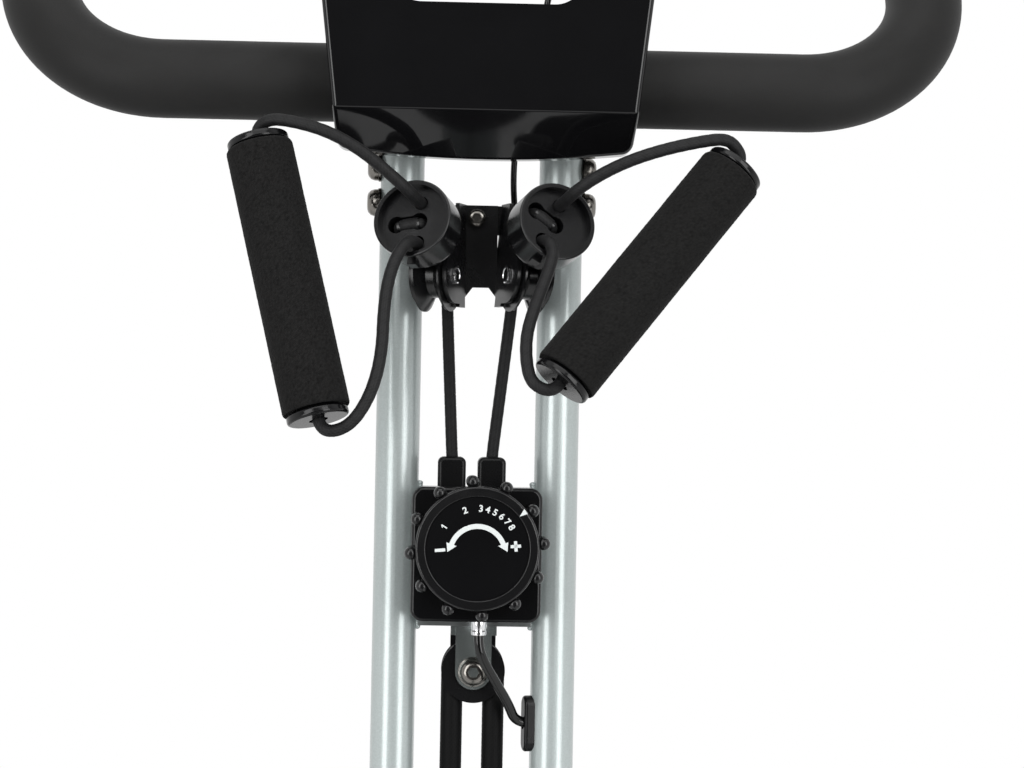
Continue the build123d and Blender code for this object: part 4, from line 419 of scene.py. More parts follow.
def block_steel():
    """Plated steel on the block's front plate, black coat on the rest of it."""
    material, tree, shader = begin("block_steel")
    place = node(tree, "ShaderNodeTexCoord").outputs["Object"]
    offset = node(tree, "ShaderNodeVectorMath", {0: place, 1: POST_ORIGIN}, operation="SUBTRACT").outputs[0]
    out = node(tree, "ShaderNodeVectorMath", {0: offset, 1: POST_OUT},
               operation="DOT_PRODUCT").outputs["Value"]
    front = node(tree, "ShaderNodeMapRange",
                 {"Value": out, "From Min": 0.0028, "From Max": 0.0030}).outputs[0]
    grains = effect(tree, moulded_grain())
    marks = effect(tree, handling_marks())
    plated = blend_colours(tree, grains["Tone"], (0.42, 0.47, 0.46), (0.56, 0.61, 0.60))
    coated = (0.008, 0.008, 0.009, 1.0)
    base = node(tree, "ShaderNodeMix", {0: front, 6: coated, 7: plated}, data_type="RGBA").outputs[2]
    tree.links.new(front, shader.inputs["Metallic"])
    dress(tree, shader, base, spread(tree, marks["Mask"], 0.24, 0.36), Specular_IOR_Level=0.2)
    return material


def polished_panel():
    """Gloss black plastic with faint wipe marks in its shine."""
    material, tree, shader = begin("polished_panel")
    marks = effect(tree, handling_marks(), Size=30.0)
    grains = effect(tree, moulded_grain(), Grain=90.0)
    base = blend_colours(tree, grains["Tone"], (0.0025, 0.0025, 0.0028), (0.0045, 0.0045, 0.005))
    gloss = spread(tree, marks["Mask"], 0.05, 0.1)
    dress(tree, shader, base, gloss, (grains["Height"], 0.04, 0.0002), Specular_IOR_Level=0.4)
    return material


def finishes():
    """Makes every finish of the bike once. A grained one has its tint, gloss, grain and depth of grain."""
    silver_coat()
    block_steel()
    foam_skin()
    grip_foam()
    polished_panel()
    saddle_vinyl()
    woven_sleeve("woven_sleeve", 1.0, 0.2)
    woven_sleeve("woven_elastic", 0.35, 0.1)
    bright_metal("zinc", (0.34, 0.36, 0.36), (0.26, 0.36), 0.08)
    bright_metal("chrome", (0.78, 0.78, 0.79), (0.06, 0.12), 0.3)
    bright_metal("dark_steel", (0.20, 0.19, 0.175), (0.16, 0.26), 0.4)
    black = tuple(bpy.context.scene.bike_paint.black)
    grained("black_coat", black, (0.24, 0.34), 700.0, 0.00004, Specular_IOR_Level=0.35)
    grained("cast_iron", (0.15, 0.15, 0.16), (0.42, 0.55), 900.0, 0.0002, Metallic=0.85)
    grained("soft_rubber", (0.0035, 0.0035, 0.0038), (0.26, 0.36), 1500.0, 0.00004, Specular_IOR_Level=0.2)
    grained("moulded_black", (0.004, 0.004, 0.0044), (0.2, 0.3), 1700.0, 0.00004, Specular_IOR_Level=0.4)
    grained("satin_black", (0.003, 0.003, 0.0034), (0.15, 0.22), 1100.0, 0.00003, Specular_IOR_Level=0.28)
    grained("moulded_grey", (0.16, 0.165, 0.17), (0.42, 0.52), 1500.0, 0.00008)
    grained("display", (0.20, 0.23, 0.20), (0.08, 0.14), 400.0, 0.00001, Coat_Weight=0.8)
    grained("ribbed_belt", (0.018, 0.018, 0.018), (0.6, 0.75), 1200.0, 0.0001)
    grained("cable_skin", (0.003, 0.003, 0.003), (0.1, 0.16), 900.0, 0.00001, Specular_IOR_Level=0.45)
    dial_white = tuple(bpy.context.scene.bike_dial.print_colour)
    grained("dial_print", dial_white, (0.42, 0.5), 1500.0, 0.00001, swing=0.04)


def finish_of(name):
    return bpy.data.materials[name]


NODE_FINISH = {
    "silver_coat": ["main_tube", "front_stabilizer", "rear_stabilizer", "post_tube_left", "post_tube_right",
                    "seat_post"],
    "black_coat": ["handlebar_stem", "handlebar_tube", "pulley_bracket", "drive_mount", "magnet_bracket",
                   "crank_arms"],
    "zinc": ["knob_bracket", "frame_fasteners", "pivot_axle", "crank_bearings"],
    "block_steel": ["band_block"],
    "dark_steel": ["post_fasteners"],
    "chrome": ["crank_shafts"],
    "cast_iron": ["flywheel"],
    "moulded_black": ["front_end_caps", "rear_end_caps", "housing_left", "housing_right", "cup_left",
                      "cup_right", "cord_pulley_left", "cord_pulley_right", "band_pulley", "pedal_left",
                      "pedal_right", "drive_pulley", "frame_bushes", "tension_knob", "seat_pin", "fold_pin",
                      "transport_wheel_left", "transport_wheel_right"],
    "satin_black": ["knob_housing", "grip_core_left", "grip_core_right", "console_body"],
    "polished_panel": ["device_holder"],
    "soft_rubber": ["post_grommets"],
    "moulded_grey": ["console_button"],
    "display": ["console_lens"],
    "ribbed_belt": ["drive_belt"],
}


# Meshes

def show(obj):
    bpy.context.scene.collection.objects.link(obj)
    return obj


def mesh_piece(name, mesh, finish):
    """A mesh object at the origin with one finish."""
    mesh.materials.clear()
    mesh.materials.append(finish_of(finish))
    return show(bpy.data.objects.new(name, mesh))


def bmesh_piece(name, shape, finish, smooth=True):
    mesh = bpy.data.meshes.new(name)
    bmesh.ops.recalc_face_normals(shape, faces=shape.faces)
    shape.to_mesh(mesh)
    shape.free()
    for polygon in mesh.polygons:
        polygon.use_smooth = smooth
    return mesh_piece(name, mesh, finish)


def row_radius(radius, corners, turn):
    """A round row's radius, or that of a polygon with this many corners."""
    if corners == 0:
        return radius
    step = 2.0 * math.pi / corners
    part = (turn % step) - step / 2.0
    return radius * math.cos(step / 2.0) / math.cos(part)


def turned_rows(shape, rows, place, sides=24):
    """Adds a turned form: rows of (radius, height, corners) along place's z axis, closed at both ends."""
    rings = []
    for radius, height, corners in rows:
        ring = []
        for side in range(sides):
            turn = 2.0 * math.pi * side / sides
            reach = row_radius(radius, corners, turn)
            spot = Vector((reach * math.cos(turn), reach * math.sin(turn), height))
            ring.append(shape.verts.new(place @ spot))
        rings.append(ring)
    for low, high in zip(rings, rings[1:]):
        for side in range(sides):
            after = (side + 1) % sides
            shape.faces.new((low[side], low[after], high[after], high[side]))
    shape.faces.new(list(reversed(rings[0])))
    shape.faces.new(rings[-1])


def facing(place, way, across=Vector((1.0, 0.0, 0.0))):
    """A place whose z axis points along way."""
    z = Vector(way).normalized()
    x = across - z * across.dot(z)
    if x.length < 1e-3:
        x = Vector((0.0, 1.0, 0.0)) - z * z.y
    x.normalize()
    y = z.cross(x)
    turn = Matrix((x, y, z)).transposed().to_4x4()
    return Matrix.Translation(place) @ turn


# Lines and Geometry Nodes

def cord_line(name, route):
    """A cord's smooth line: one open spline with the route's points as its control points."""
    data = bpy.data.curves.new(name, "CURVE")
    data.dimensions = "3D"
    data.resolution_u = 16
    spline = data.splines.new("NURBS")
    spline.points.add(len(route) - 1)
    for point, place in zip(spline.points, route):
        point.co = (*place, 1.0)
    spline.order_u = 3
    spline.use_endpoint_u = True
    return show(bpy.data.objects.new(name, data))


def bent_line(name, stations, cyclic=False):
    """A line through stations of (place, handle before, handle after)."""
    data = bpy.data.curves.new(name, "CURVE")
    data.dimensions = "3D"
    data.resolution_u = 24
    spline = data.splines.new("BEZIER")
    spline.bezier_points.add(len(stations) - 1)
    for point, (place, before, after) in zip(spline.bezier_points, stations):
        point.handle_left_type = "FREE"
        point.handle_right_type = "FREE"
        point.co = place
        point.handle_left = before
        point.handle_right = after
    spline.use_cyclic_u = cyclic
    return show(bpy.data.objects.new(name, data))


def rings_line(name, rings):
    """Closed rings of points as one object of straight splines."""
    data = bpy.data.curves.new(name, "CURVE")
    data.dimensions = "3D"
    for ring, cyclic in rings:
        spline = data.splines.new("POLY")
        spline.points.add(len(ring) - 1)
        for point, place in zip(spline.points, ring):
            point.co = (*place, 1.0)
        spline.use_cyclic_u = cyclic
    return show(bpy.data.objects.new(name, data))


def points_of(line):
    """Points along a line as Blender draws it."""
    graph = bpy.context.evaluated_depsgraph_get()
    mesh = bpy.data.meshes.new_from_object(line.evaluated_get(graph))
    points = [vertex.co.copy() for vertex in mesh.vertices]
    bpy.data.meshes.remove(mesh)
    return points


def points_host(name, places, ways):
    """Loose points that each face a way."""
    mesh = bpy.data.meshes.new(name)
    mesh.from_pydata([tuple(place) for place in places], [], [])
    attribute = mesh.attributes.new("facing", "FLOAT_VECTOR", "POINT")
    for item, way in zip(attribute.data, ways):
        item.vector = way
    return show(bpy.data.objects.new(name, mesh))


def geometry_tree(name, inputs):
    """A Geometry Nodes tree with named inputs, and its group input."""
    tree = bpy.data.node_groups.new(name, "GeometryNodeTree")
    tree.interface.new_socket("Geometry", in_out="INPUT", socket_type="NodeSocketGeometry")
    for label, kind in inputs:
        tree.interface.new_socket(label, in_out="INPUT", socket_type="NodeSocket" + kind)
    tree.interface.new_socket("Geometry", in_out="OUTPUT", socket_type="NodeSocketGeometry")
    return tree, node(tree, "NodeGroupInput").outputs


def close_tree(tree, geometry, material, crease=math.pi):
    """Realizes what the tree has made, rounds its shading up to the crease angle and sets its material."""
    real = node(tree, "GeometryNodeRealizeInstances", {"Geometry": geometry}).outputs[0]
    bend = node(tree, "GeometryNodeInputMeshEdgeAngle").outputs["Unsigned Angle"]
    sharp = node(tree, "FunctionNodeCompare", {0: bend, 1: crease}, data_type="FLOAT",
                 operation="GREATER_THAN")
    smooth = node(tree, "GeometryNodeSetShadeSmooth", {"Geometry": real, "Shade Smooth": True}).outputs[0]
    creased = {"Geometry": smooth, "Selection": sharp.outputs[0], "Shade Smooth": False}
    shade = node(tree, "GeometryNodeSetShadeSmooth", creased, domain="EDGE").outputs[0]
    painted = node(tree, "GeometryNodeSetMaterial", {"Geometry": shade, "Material": material}).outputs[0]
    node(tree, "NodeGroupOutput", {"Geometry": painted})
    return tree


def grow(host, tree, name, **values):
    """Runs a tree on a host and returns the result as a plain mesh piece. The host is used up."""
    modifier = host.modifiers.new("grow", "NODES")
    modifier.node_group = tree
    for item in tree.interface.items_tree:
        label = item.name.replace(" ", "_").lower()
        if item.in_out == "INPUT" and label in values:
            modifier[item.identifier] = values[label]
    graph = bpy.context.evaluated_depsgraph_get()
    mesh = bpy.data.meshes.new_from_object(host.evaluated_get(graph), preserve_all_data_layers=True,
                                           depsgraph=graph)
    mesh.name = name
    bpy.data.objects.remove(host)
    return show(bpy.data.objects.new(name, mesh))


def kept(tree, geometry, label, value):
    return node(tree, "GeometryNodeStoreNamedAttribute",
                {"Geometry": geometry, "Name": label, "Value": value}, data_type="FLOAT",
                domain="POINT").outputs[0]


def recalled(tree, label):
    return node(tree, "GeometryNodeInputNamedAttribute", {"Name": label}, data_type="FLOAT").outputs[0]


def resampled(tree, line, step):
    return node(tree, "GeometryNodeResampleCurve", {"Curve": line, "Length": step}, mode="LENGTH").outputs[0]


def set_along(tree, line, one, scale):
    """The same thing on every point of a line, turned to run along it."""
    tangent = node(tree, "GeometryNodeInputTangent").outputs[0]
    turn = node(tree, "FunctionNodeAlignRotationToVector", {"Vector": tangent}, axis="Z").outputs[0]
    inputs = {"Points": line, "Instance": one, "Rotation": turn, "Scale": scale}
    return node(tree, "GeometryNodeInstanceOnPoints", inputs).outputs[0]


def swept_tube(tree, given):
    """A tube along the line that comes in, with how far along and round each point is."""
    line = resampled(tree, given["Geometry"], given["Step"])
    along = node(tree, "GeometryNodeSplineParameter").outputs["Length"]
    whole = node(tree, "GeometryNodeCurveLength", {"Curve": given["Geometry"]}).outputs[0]
    from_end = calc(tree, "MINIMUM", along, calc(tree, "SUBTRACT", whole, along))
    line = kept(tree, kept(tree, line, "along", along), "from_end", from_end)
    circle = node(tree, "GeometryNodeCurvePrimitiveCircle",
                  {"Resolution": given["Sides"], "Radius": given["Radius"]})
    around = kept(tree, circle.outputs[0], "around",
                  node(tree, "GeometryNodeSplineParameter").outputs["Factor"])
    return node(tree, "GeometryNodeCurveToMesh",
                {"Curve": line, "Profile Curve": around, "Fill Caps": True}).outputs[0]


def pushed(tree, mesh, amount):
    """Moves each point along its normal."""
    normal = node(tree, "GeometryNodeInputNormal").outputs["Normal"]
    offset = node(tree, "ShaderNodeVectorMath", {0: normal, "Scale": amount}, operation="SCALE").outputs[0]
    return node(tree, "GeometryNodeSetPosition", {"Geometry": mesh, "Offset": offset}).outputs[0]


def sleeve_tree():
    """A woven sleeve along a line: two sets of yarns that cross."""
    tree, given = geometry_tree("woven sleeve", [("Radius", "Float"), ("Pitch", "Float"), ("Yarns", "Int"),
                                                 ("Relief", "Float"), ("Step", "Float"), ("Sides", "Int"),
                                                 ("Material", "Material")])
    mesh = swept_tube(tree, given)
    turn = calc(tree, "MULTIPLY", recalled(tree, "around"), given["Yarns"])
    climb = calc(tree, "DIVIDE", recalled(tree, "along"), given["Pitch"])
    climb = calc(tree, "MULTIPLY", climb, calc(tree, "MULTIPLY", given["Yarns"], 0.5))
    waves = []
    for operation in ("ADD", "SUBTRACT"):
        phase = calc(tree, "MULTIPLY", calc(tree, operation, turn, climb), 2.0 * math.pi)
        waves.append(calc(tree, "COSINE", phase))
    raised = calc(tree, "MULTIPLY", calc(tree, "ADD", calc(tree, "MAXIMUM", *waves), 1.0), 0.5)
    # Kept for the sleeve's colour too, where it paints shade in the gaps of the weave
    mesh = kept(tree, mesh, "weave", raised)
    sunk = calc(tree, "MULTIPLY", calc(tree, "SUBTRACT", recalled(tree, "weave"), 1.0), given["Relief"])
    return close_tree(tree, pushed(tree, mesh, sunk), given["Material"])


def foam_tree():
    """A foam sleeve along a line, with rounded ends and open cells."""
    tree, given = geometry_tree("foam sleeve", [("Radius", "Float"), ("Round", "Float"), ("Cell", "Float"),
                                                ("Relief", "Float"), ("Step", "Float"), ("Sides", "Int"),
                                                ("Material", "Material")])
    mesh = swept_tube(tree, given)
    place = node(tree, "GeometryNodeInputPosition").outputs[0]
    fine = calc(tree, "DIVIDE", 1.0, given["Cell"])
    cells = node(tree, "ShaderNodeTexVoronoi", {"Vector": place, "Scale": fine}).outputs["Distance"]
    lumps = node(tree, "ShaderNodeTexNoise", {"Vector": place, "Scale": 60.0, "Detail": 2.0}).outputs[0]
    # Kept for the grip's colour, where it paints shade in the sunken cells
    mesh = kept(tree, mesh, "cell", calc(tree, "SUBTRACT", 1.0, cells))
    inward = calc(tree, "MINIMUM", 1.0, calc(tree, "DIVIDE", recalled(tree, "from_end"), given["Round"]))
    near = calc(tree, "SUBTRACT", 1.0, inward)
    level = calc(tree, "SQRT", calc(tree, "SUBTRACT", 1.0, calc(tree, "MULTIPLY", near, near)))
    drop = calc(tree, "SUBTRACT", 1.0, level)
    ends = calc(tree, "MULTIPLY", drop, given["Round"])
    pits = calc(tree, "MULTIPLY", calc(tree, "ADD", cells, lumps), given["Relief"])
    sunk = calc(tree, "MULTIPLY", calc(tree, "ADD", ends, pits), -1.0)
    return close_tree(tree, pushed(tree, mesh, sunk), given["Material"])


def fastener_tree():
    """The same fastener on every point, facing as the point says."""
    tree, given = geometry_tree("fasteners", [("Fastener", "Object"), ("Material", "Material")])
    one = node(tree, "GeometryNodeObjectInfo", {"Object": given["Fastener"]}).outputs["Geometry"]
    way = node(tree, "GeometryNodeInputNamedAttribute", {"Name": "facing"},
               data_type="FLOAT_VECTOR").outputs[0]
    turn = node(tree, "FunctionNodeAlignRotationToVector", {"Vector": way}, axis="Z").outputs[0]
    many = node(tree, "GeometryNodeInstanceOnPoints",
                {"Points": given["Geometry"], "Instance": one, "Rotation": turn})
    return close_tree(tree, many.outputs[0], given["Material"], crease=math.radians(40.0))


def bead_tree():
    """A weld's overlapping ripples along a line."""
    tree, given = geometry_tree("weld beads", [("Spacing", "Float"), ("Width", "Float"), ("Seed", "Int"),
                                               ("Material", "Material")])
    line = resampled(tree, given["Geometry"], given["Spacing"])
    ripple = node(tree, "GeometryNodeMeshIcoSphere", {"Radius": given["Width"], "Subdivisions": 2}).outputs[0]
    size = node(tree, "FunctionNodeRandomValue", {2: 0.85, 3: 1.15, "Seed": given["Seed"]},
                data_type="FLOAT").outputs[1]
    flat = node(tree, "ShaderNodeCombineXYZ", {0: size, 1: size, 2: 0.8}).outputs[0]
    return close_tree(tree, set_along(tree, line, ripple, flat), given["Material"])


def stitch_tree():
    """Stitches laid end to end along a line, with a gap between them."""
    tree, given = geometry_tree("stitches",
                                [("Stitch", "Float"), ("Thread", "Float"), ("Material", "Material")])
    line = resampled(tree, given["Geometry"], given["Stitch"])
    thread = node(tree, "GeometryNodeMeshIcoSphere",
                  {"Radius": given["Thread"], "Subdivisions": 1}).outputs[0]
    share = calc(tree, "DIVIDE", calc(tree, "MULTIPLY", given["Stitch"], 0.38), given["Thread"])
    long = node(tree, "ShaderNodeCombineXYZ", {0: 1.0, 1: 1.0, 2: share}).outputs[0]
    return close_tree(tree, set_along(tree, line, thread, long), given["Material"])


def tree_named(name, make):
    return bpy.data.node_groups.get(name) or make()


def woven(line, name, radius, sides=32, step=0.0008, yarns=None, finish="woven_sleeve"):
    cords = bpy.context.scene.bike_cords
    return grow(line, tree_named("woven sleeve", sleeve_tree), name, radius=radius, pitch=cords.pitch,
                yarns=yarns or cords.yarns, relief=cords.relief, step=step, sides=sides,
                material=finish_of(finish))


# Paint

class BIKE_OT_paint(bpy.types.Operator):
    """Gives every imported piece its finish"""
    bl_idname = "bike.paint"
    bl_label = "Paint the frame"

    def execute(self, context):
        finishes()
        for finish, nodes in NODE_FINISH.items():
            for name in nodes:
                mesh = NODES[name].data
                mesh.materials.clear()
                mesh.materials.append(finish_of(finish))
        return {"FINISHED"}


# Handlebar

def bar_stations(side):
    """The bar's foam: straight out, round the bend and up the arm."""
    up = (0.0, math.cos(BAR_TILT), -math.sin(BAR_TILT))
    reach = ARC_HANDLE * BAR_BEND_R
    end_x = BAR_HALF_STRAIGHT + BAR_BEND_R

    def at(x, climb):
        return post_place((side * x, BAR_T + up[1] * climb, BAR_N + up[2] * climb))

    inner = at(FOAM_INNER_X, 0.0)
    bend_in = at(BAR_HALF_STRAIGHT, 0.0)
    bend_out = at(end_x, BAR_BEND_R)
    end = at(end_x, BAR_BEND_R + BAR_ARM_L)
    return [
        (inner, inner, inner.lerp(bend_in, 1.0 / 3.0)),
        (bend_in, bend_in.lerp(inner, 1.0 / 3.0), at(BAR_HALF_STRAIGHT + reach, 0.0)),
        (bend_out, at(end_x, BAR_BEND_R - reach), bend_out.lerp(end, 1.0 / 3.0)),
        (end, end.lerp(bend_out, 1.0 / 3.0), end),
    ]


# An end plug's outline: how far inside the foam's edge, and how far out from the foam's end
PLUG_ROWS = [(0.0012, 0.0), (0.0002, 0.0006), (0.0, 0.002), (0.0, 0.0045), (0.0008, 0.0068), (0.0028, 0.0083),
             (0.006, 0.009), (0.0065, 0.0086), (0.008, 0.0084)]


class BIKE_OT_bar_foam(bpy.types.Operator):
    """Makes the foam on the bar, with a plug in each end"""
    bl_idname = "bike.bar_foam"
    bl_label = "Handlebar foam"

    def execute(self, context):
        foam = context.scene.bike_foam
        plugs = bmesh.new()
        pieces = []
        for side, name in ((-1, "bar_foam_left"), (1, "bar_foam_right")):
            stations = bar_stations(side)
            line = bent_line(name + "_line", stations)
            sleeve = grow(line, tree_named("foam sleeve", foam_tree), name, radius=foam.bar_radius,
                          round=0.003, cell=0.0016, relief=0.00006, step=0.0016, sides=96,
                          material=finish_of("foam_skin"))
            pieces.append(sleeve)
            end = stations[-1][0]
            way = (end - stations[-2][0]).normalized()
            rows = [(foam.bar_radius - inset, height, 0) for inset, height in PLUG_ROWS]
            turned_rows(plugs, rows, facing(end, way), sides=64)
        pieces.append(bmesh_piece("bar_plugs", plugs, "soft_rubber"))
        for piece in pieces:
            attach(piece, "post")
        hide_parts("handlebar_foam")
        return {"FINISHED"}


# Pull handles

class BIKE_OT_grips(bpy.types.Operator):
    """Makes the foam sleeves of the two pull handles"""
    bl_idname = "bike.grips"
    bl_label = "Pull handle foam"

    def execute(self, context):
        foam = context.scene.bike_foam
        for ends, tail in ((LEFT_GRIP, "left"), (RIGHT_GRIP, "right")):
            name = "grip_sleeve_" + tail
            top, bottom = post_place(ends[0]), post_place(ends[1])
            line = bent_line(name + "_line", [(top, top, top.lerp(bottom, 1.0 / 3.0)),
                                              (bottom, bottom.lerp(top, 1.0 / 3.0), bottom)])
            piece = grow(line, tree_named("foam sleeve", foam_tree), name, radius=foam.grip_radius,
                         round=0.002, cell=foam.cell, relief=foam.relief, step=0.0007, sides=150,
                         material=finish_of("grip_foam"))
            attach(piece, tail + "_handle")
            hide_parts("grip_" + tail)
        return {"FINISHED"}


class BIKE_OT_handle_cords(bpy.types.Operator):
    """Makes the two cord loops that run from the cups through the grips"""
    bl_idname = "bike.handle_cords"
    bl_label = "Handle cords"

    def execute(self, context):
        cords = context.scene.bike_cords
        for route, tail, real in ((LEFT_HANDLE_ROUTE, "left", LEFT_CORD_L),
                                  (RIGHT_HANDLE_ROUTE, "right", RIGHT_CORD_L)):
            name = "handle_loop_" + tail
            places = [post_place(point) for point in route]
            line = cord_line(name + "_line", places)
            path = points_of(line)
            piece = woven(line, name, cords.rope_radius)
            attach(piece, tail + "_handle")
            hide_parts("handle_cord_" + tail)
        return {"FINISHED"}


# Each cup's slot: its middle on the cup's face, the way across the slot and the way that the cup is pulled
CUP_SLOTS = {
    "left": ((-38.0, -73.37, 58.84), (0.942, 0.154, 0.298), (-0.33, 0.27, 0.9045)),
    "right": ((31.35, -69.58, 60.14), (0.800, -0.589, -0.116), (0.33, 0.27, 0.9045)),
}
BRIDGE_ROUTE = [(-6.0, -13.0), (-5.8, -8.4), (-2.5, -7.0), (2.5, -7.0), (5.8, -8.4), (6.0, -13.0)]
BRIDGE_SWELL = 0.0002
LEAD_L = 20.5
CORD_LEAVES = {"left": (-20.94, -83.54, 22.22), "right": (21.78, -83.59, 21.93)}


class BIKE_OT_cup_cords(bpy.types.Operator):
    """Makes the short cord across each cup's slot and the pulled cord behind it"""
    bl_idname = "bike.cup_cords"
    bl_label = "Cup cords"

    def execute(self, context):
        cords = context.scene.bike_cords
        for tail, (face, across, pull) in CUP_SLOTS.items():
            body = tail + "_handle"
            places = []
            for reach, depth in BRIDGE_ROUTE:
                spot = [f + a * reach + p * depth for f, a, p in zip(face, across, pull)]
                places.append(post_place(spot))
            bridge = woven(cord_line("bridge_line", places), "cup_bridge_" + tail,
                           cords.rope_radius + BRIDGE_SWELL)
            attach(bridge, body)
            start = Vector(CORD_LEAVES[tail])
            end = start + Vector(pull) * LEAD_L
            line = cord_line("lead_line",
                             [post_place(start), post_place(start.lerp(end, 0.5)), post_place(end)])
            lead = woven(line, "lead_rope_" + tail, cords.rope_radius)
            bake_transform(lead)
            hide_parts("lead_cord_" + tail)
        return {"FINISHED"}


# Arm ropes and elastic loop

ARM_ROPES = {
    "left": [(-20.94, -83.54, 22.22), (-19.2, -81.4, 16.7), (-17.4, -86.2, 10.9), (-17.15, -96.15, 12.4),
             (-13.35, -172.1, 6.2), (-12.6, -187, 5), (-11.2, -201.8, 3), (-5.5, -261.5, -5)],
    "right": [(21.78, -83.59, 21.93), (20, -81.4, 16.5), (18, -86.2, 10.8), (17.48, -95.9, 12.32),
              (9.05, -172.1, 6.2), (7.4, -187, 5), (7, -201.9, 3), (5.5, -261.5, -5)],
}
LOOP_CENTRE_R = 10.45
LOOP_TOP_T = -294.5
LOOP_BOTTOM_T = -444.5
LOOP_N = -5.0


class BIKE_OT_arm_ropes(bpy.types.Operator):
    """Makes the two ropes down to the block and the thick loop below it"""
    bl_idname = "bike.arm_ropes"
    bl_label = "Arm ropes and loop"

    def execute(self, context):
        cords = context.scene.bike_cords
        for tail, route in ARM_ROPES.items():
            line = cord_line("rope_line", [post_place(point) for point in route])
            rope = woven(line, "arm_rope_" + tail, cords.rope_radius)
            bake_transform(rope)
        reach = ARC_HANDLE * LOOP_CENTRE_R
        stations = []
        for way, first, last in ((1, LOOP_BOTTOM_T, LOOP_TOP_T), (-1, LOOP_TOP_T, LOOP_BOTTOM_T)):
            x, aside = way * LOOP_CENTRE_R, way * reach
            for t in (first, last):
                stations.append(((x, t), (x, t - aside), (x, t + aside)))
            end = last + x
            stations.append(((0.0, end), (aside, end), (-aside, end)))
        places = [tuple(post_place((x, t, LOOP_N)) for x, t in station) for station in stations]
        line = bent_line("loop_line", places, cyclic=True)
        loop = woven(line, "elastic_loop", cords.loop_radius, sides=72, step=0.0006, yarns=18,
                     finish="woven_elastic")
        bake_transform(loop)
        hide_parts("arm_bands")
        return {"FINISHED"}


# Cables

class BIKE_OT_cables(bpy.types.Operator):
    """Makes the sensor cable and the tension cable"""
    bl_idname = "bike.cables"
    bl_label = "Cables"

    def execute(self, context):
        for route, name, node_name, thick, real in (
                (SENSOR_ROUTE, "sensor_lead", "sensor_cable", SENSOR_D, SENSOR_L),
                (TENSION_ROUTE, "tension_lead", "tension_cable", TENSION_D, TENSION_L)):
            places = [post_place(point) for point in route]
            piece = cord_line(name, places)
            piece.data.bevel_depth = thick / 2.0
            piece.data.bevel_resolution = 6
            piece.data.use_fill_caps = True
            piece.data.materials.append(finish_of("cable_skin"))
            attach(piece, "post")
            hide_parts(node_name)
        return {"FINISHED"}


# Dial

FIGURES = {"1": 148.0, "2": 109.0, "3": 86.0, "4": 76.0, "5": 65.0, "6": 54.0, "7": 43.0, "8": 33.0}
PRINT_DEPTH = 0.00008
ARROW_R = 0.0133
ARROW_DROP = 0.0025
ARROW_W = 0.0024
ARROW_FROM = math.radians(22.0)
ARROW_TO = math.radians(160.0)
ARROW_HEAD_W = 0.0052
ARROW_HEAD_L = 0.0042
ARROW_TIP_OUT = 0.0006
SIGN_TILT = math.radians(5.0)
SIGN_L = 0.0050
SIGN_W = 0.0015
MINUS_AT = (-0.0180, -0.0009)
PLUS_AT = (0.0184, 0.0015)
POINTER = [(0.0199, 0.0159), (0.0238, 0.0172), (0.0221, 0.0196)]


def flat_shape(shape, outline, place):
    """A thin printed shape from its outline."""
    low = [shape.verts.new(place @ Vector((x, y, -PRINT_DEPTH))) for x, y in outline]
    high = [shape.verts.new(place @ Vector((x, y, PRINT_DEPTH))) for x, y in outline]
    shape.faces.new(high)
    shape.faces.new(list(reversed(low)))
    for first in range(len(outline)):
        second = (first + 1) % len(outline)
        shape.faces.new((low[first], low[second], high[second], high[first]))


def bar_outline(x, y, long, wide, turn):
    along = Vector((math.cos(turn), math.sin(turn)))
    aside = Vector((-along.y, along.x))
    corners = ((-1, -1), (1, -1), (1, 1), (-1, 1))
    return [tuple(Vector((x, y)) + along * (a * long / 2) + aside * (b * wide / 2)) for a, b in corners]


def arrow_band():
    """The curved band between the two arrow heads."""
    steps = 40
    outer, inner = [], []
    for step in range(steps + 1):
        turn = ARROW_FROM + (ARROW_TO - ARROW_FROM) * step / steps
        way = Vector((math.cos(turn), math.sin(turn)))
        outer.append((way.x * (ARROW_R + ARROW_W / 2), way.y * (ARROW_R + ARROW_W / 2) - ARROW_DROP))
        inner.append((way.x * (ARROW_R - ARROW_W / 2), way.y * (ARROW_R - ARROW_W / 2) - ARROW_DROP))
    return outer, inner


def arrow_head(turn, way):
    tip_way = Vector((-math.sin(turn), math.cos(turn))) * way
    out = Vector((math.cos(turn), math.sin(turn)))
    base = out * ARROW_R - Vector((0.0, ARROW_DROP))
    tip = base + tip_way * ARROW_HEAD_L + out * ARROW_TIP_OUT
    corners = [base + out * (ARROW_HEAD_W / 2), tip, base - out * (ARROW_HEAD_W / 2)]
    return [tuple(corner) for corner in (corners if way > 0 else reversed(corners))]


def figure_one(height):
    """A plain 1 with a flag, as an outline."""
    half = 0.36 * height
    stem = 0.14 * height
    return [(0.0, -half), (stem, -half), (stem, half), (0.25 * stem, half), (-1.1 * stem, 0.45 * half),
            (-1.1 * stem, 0.1 * half), (0.0, 0.5 * half)]


def figure_mesh(text, height):
    """A number as a thin mesh, centred."""
    data = bpy.data.curves.new("figure", "FONT")
    data.body = text
    data.size = height
    data.align_x = "CENTER"
    data.align_y = "CENTER"
    data.extrude = PRINT_DEPTH
    data.offset = height * 0.026
    obj = show(bpy.data.objects.new("figure", data))
    graph = bpy.context.evaluated_depsgraph_get()
    mesh = bpy.data.meshes.new_from_object(obj.evaluated_get(graph))
    bpy.data.objects.remove(obj)
    return mesh


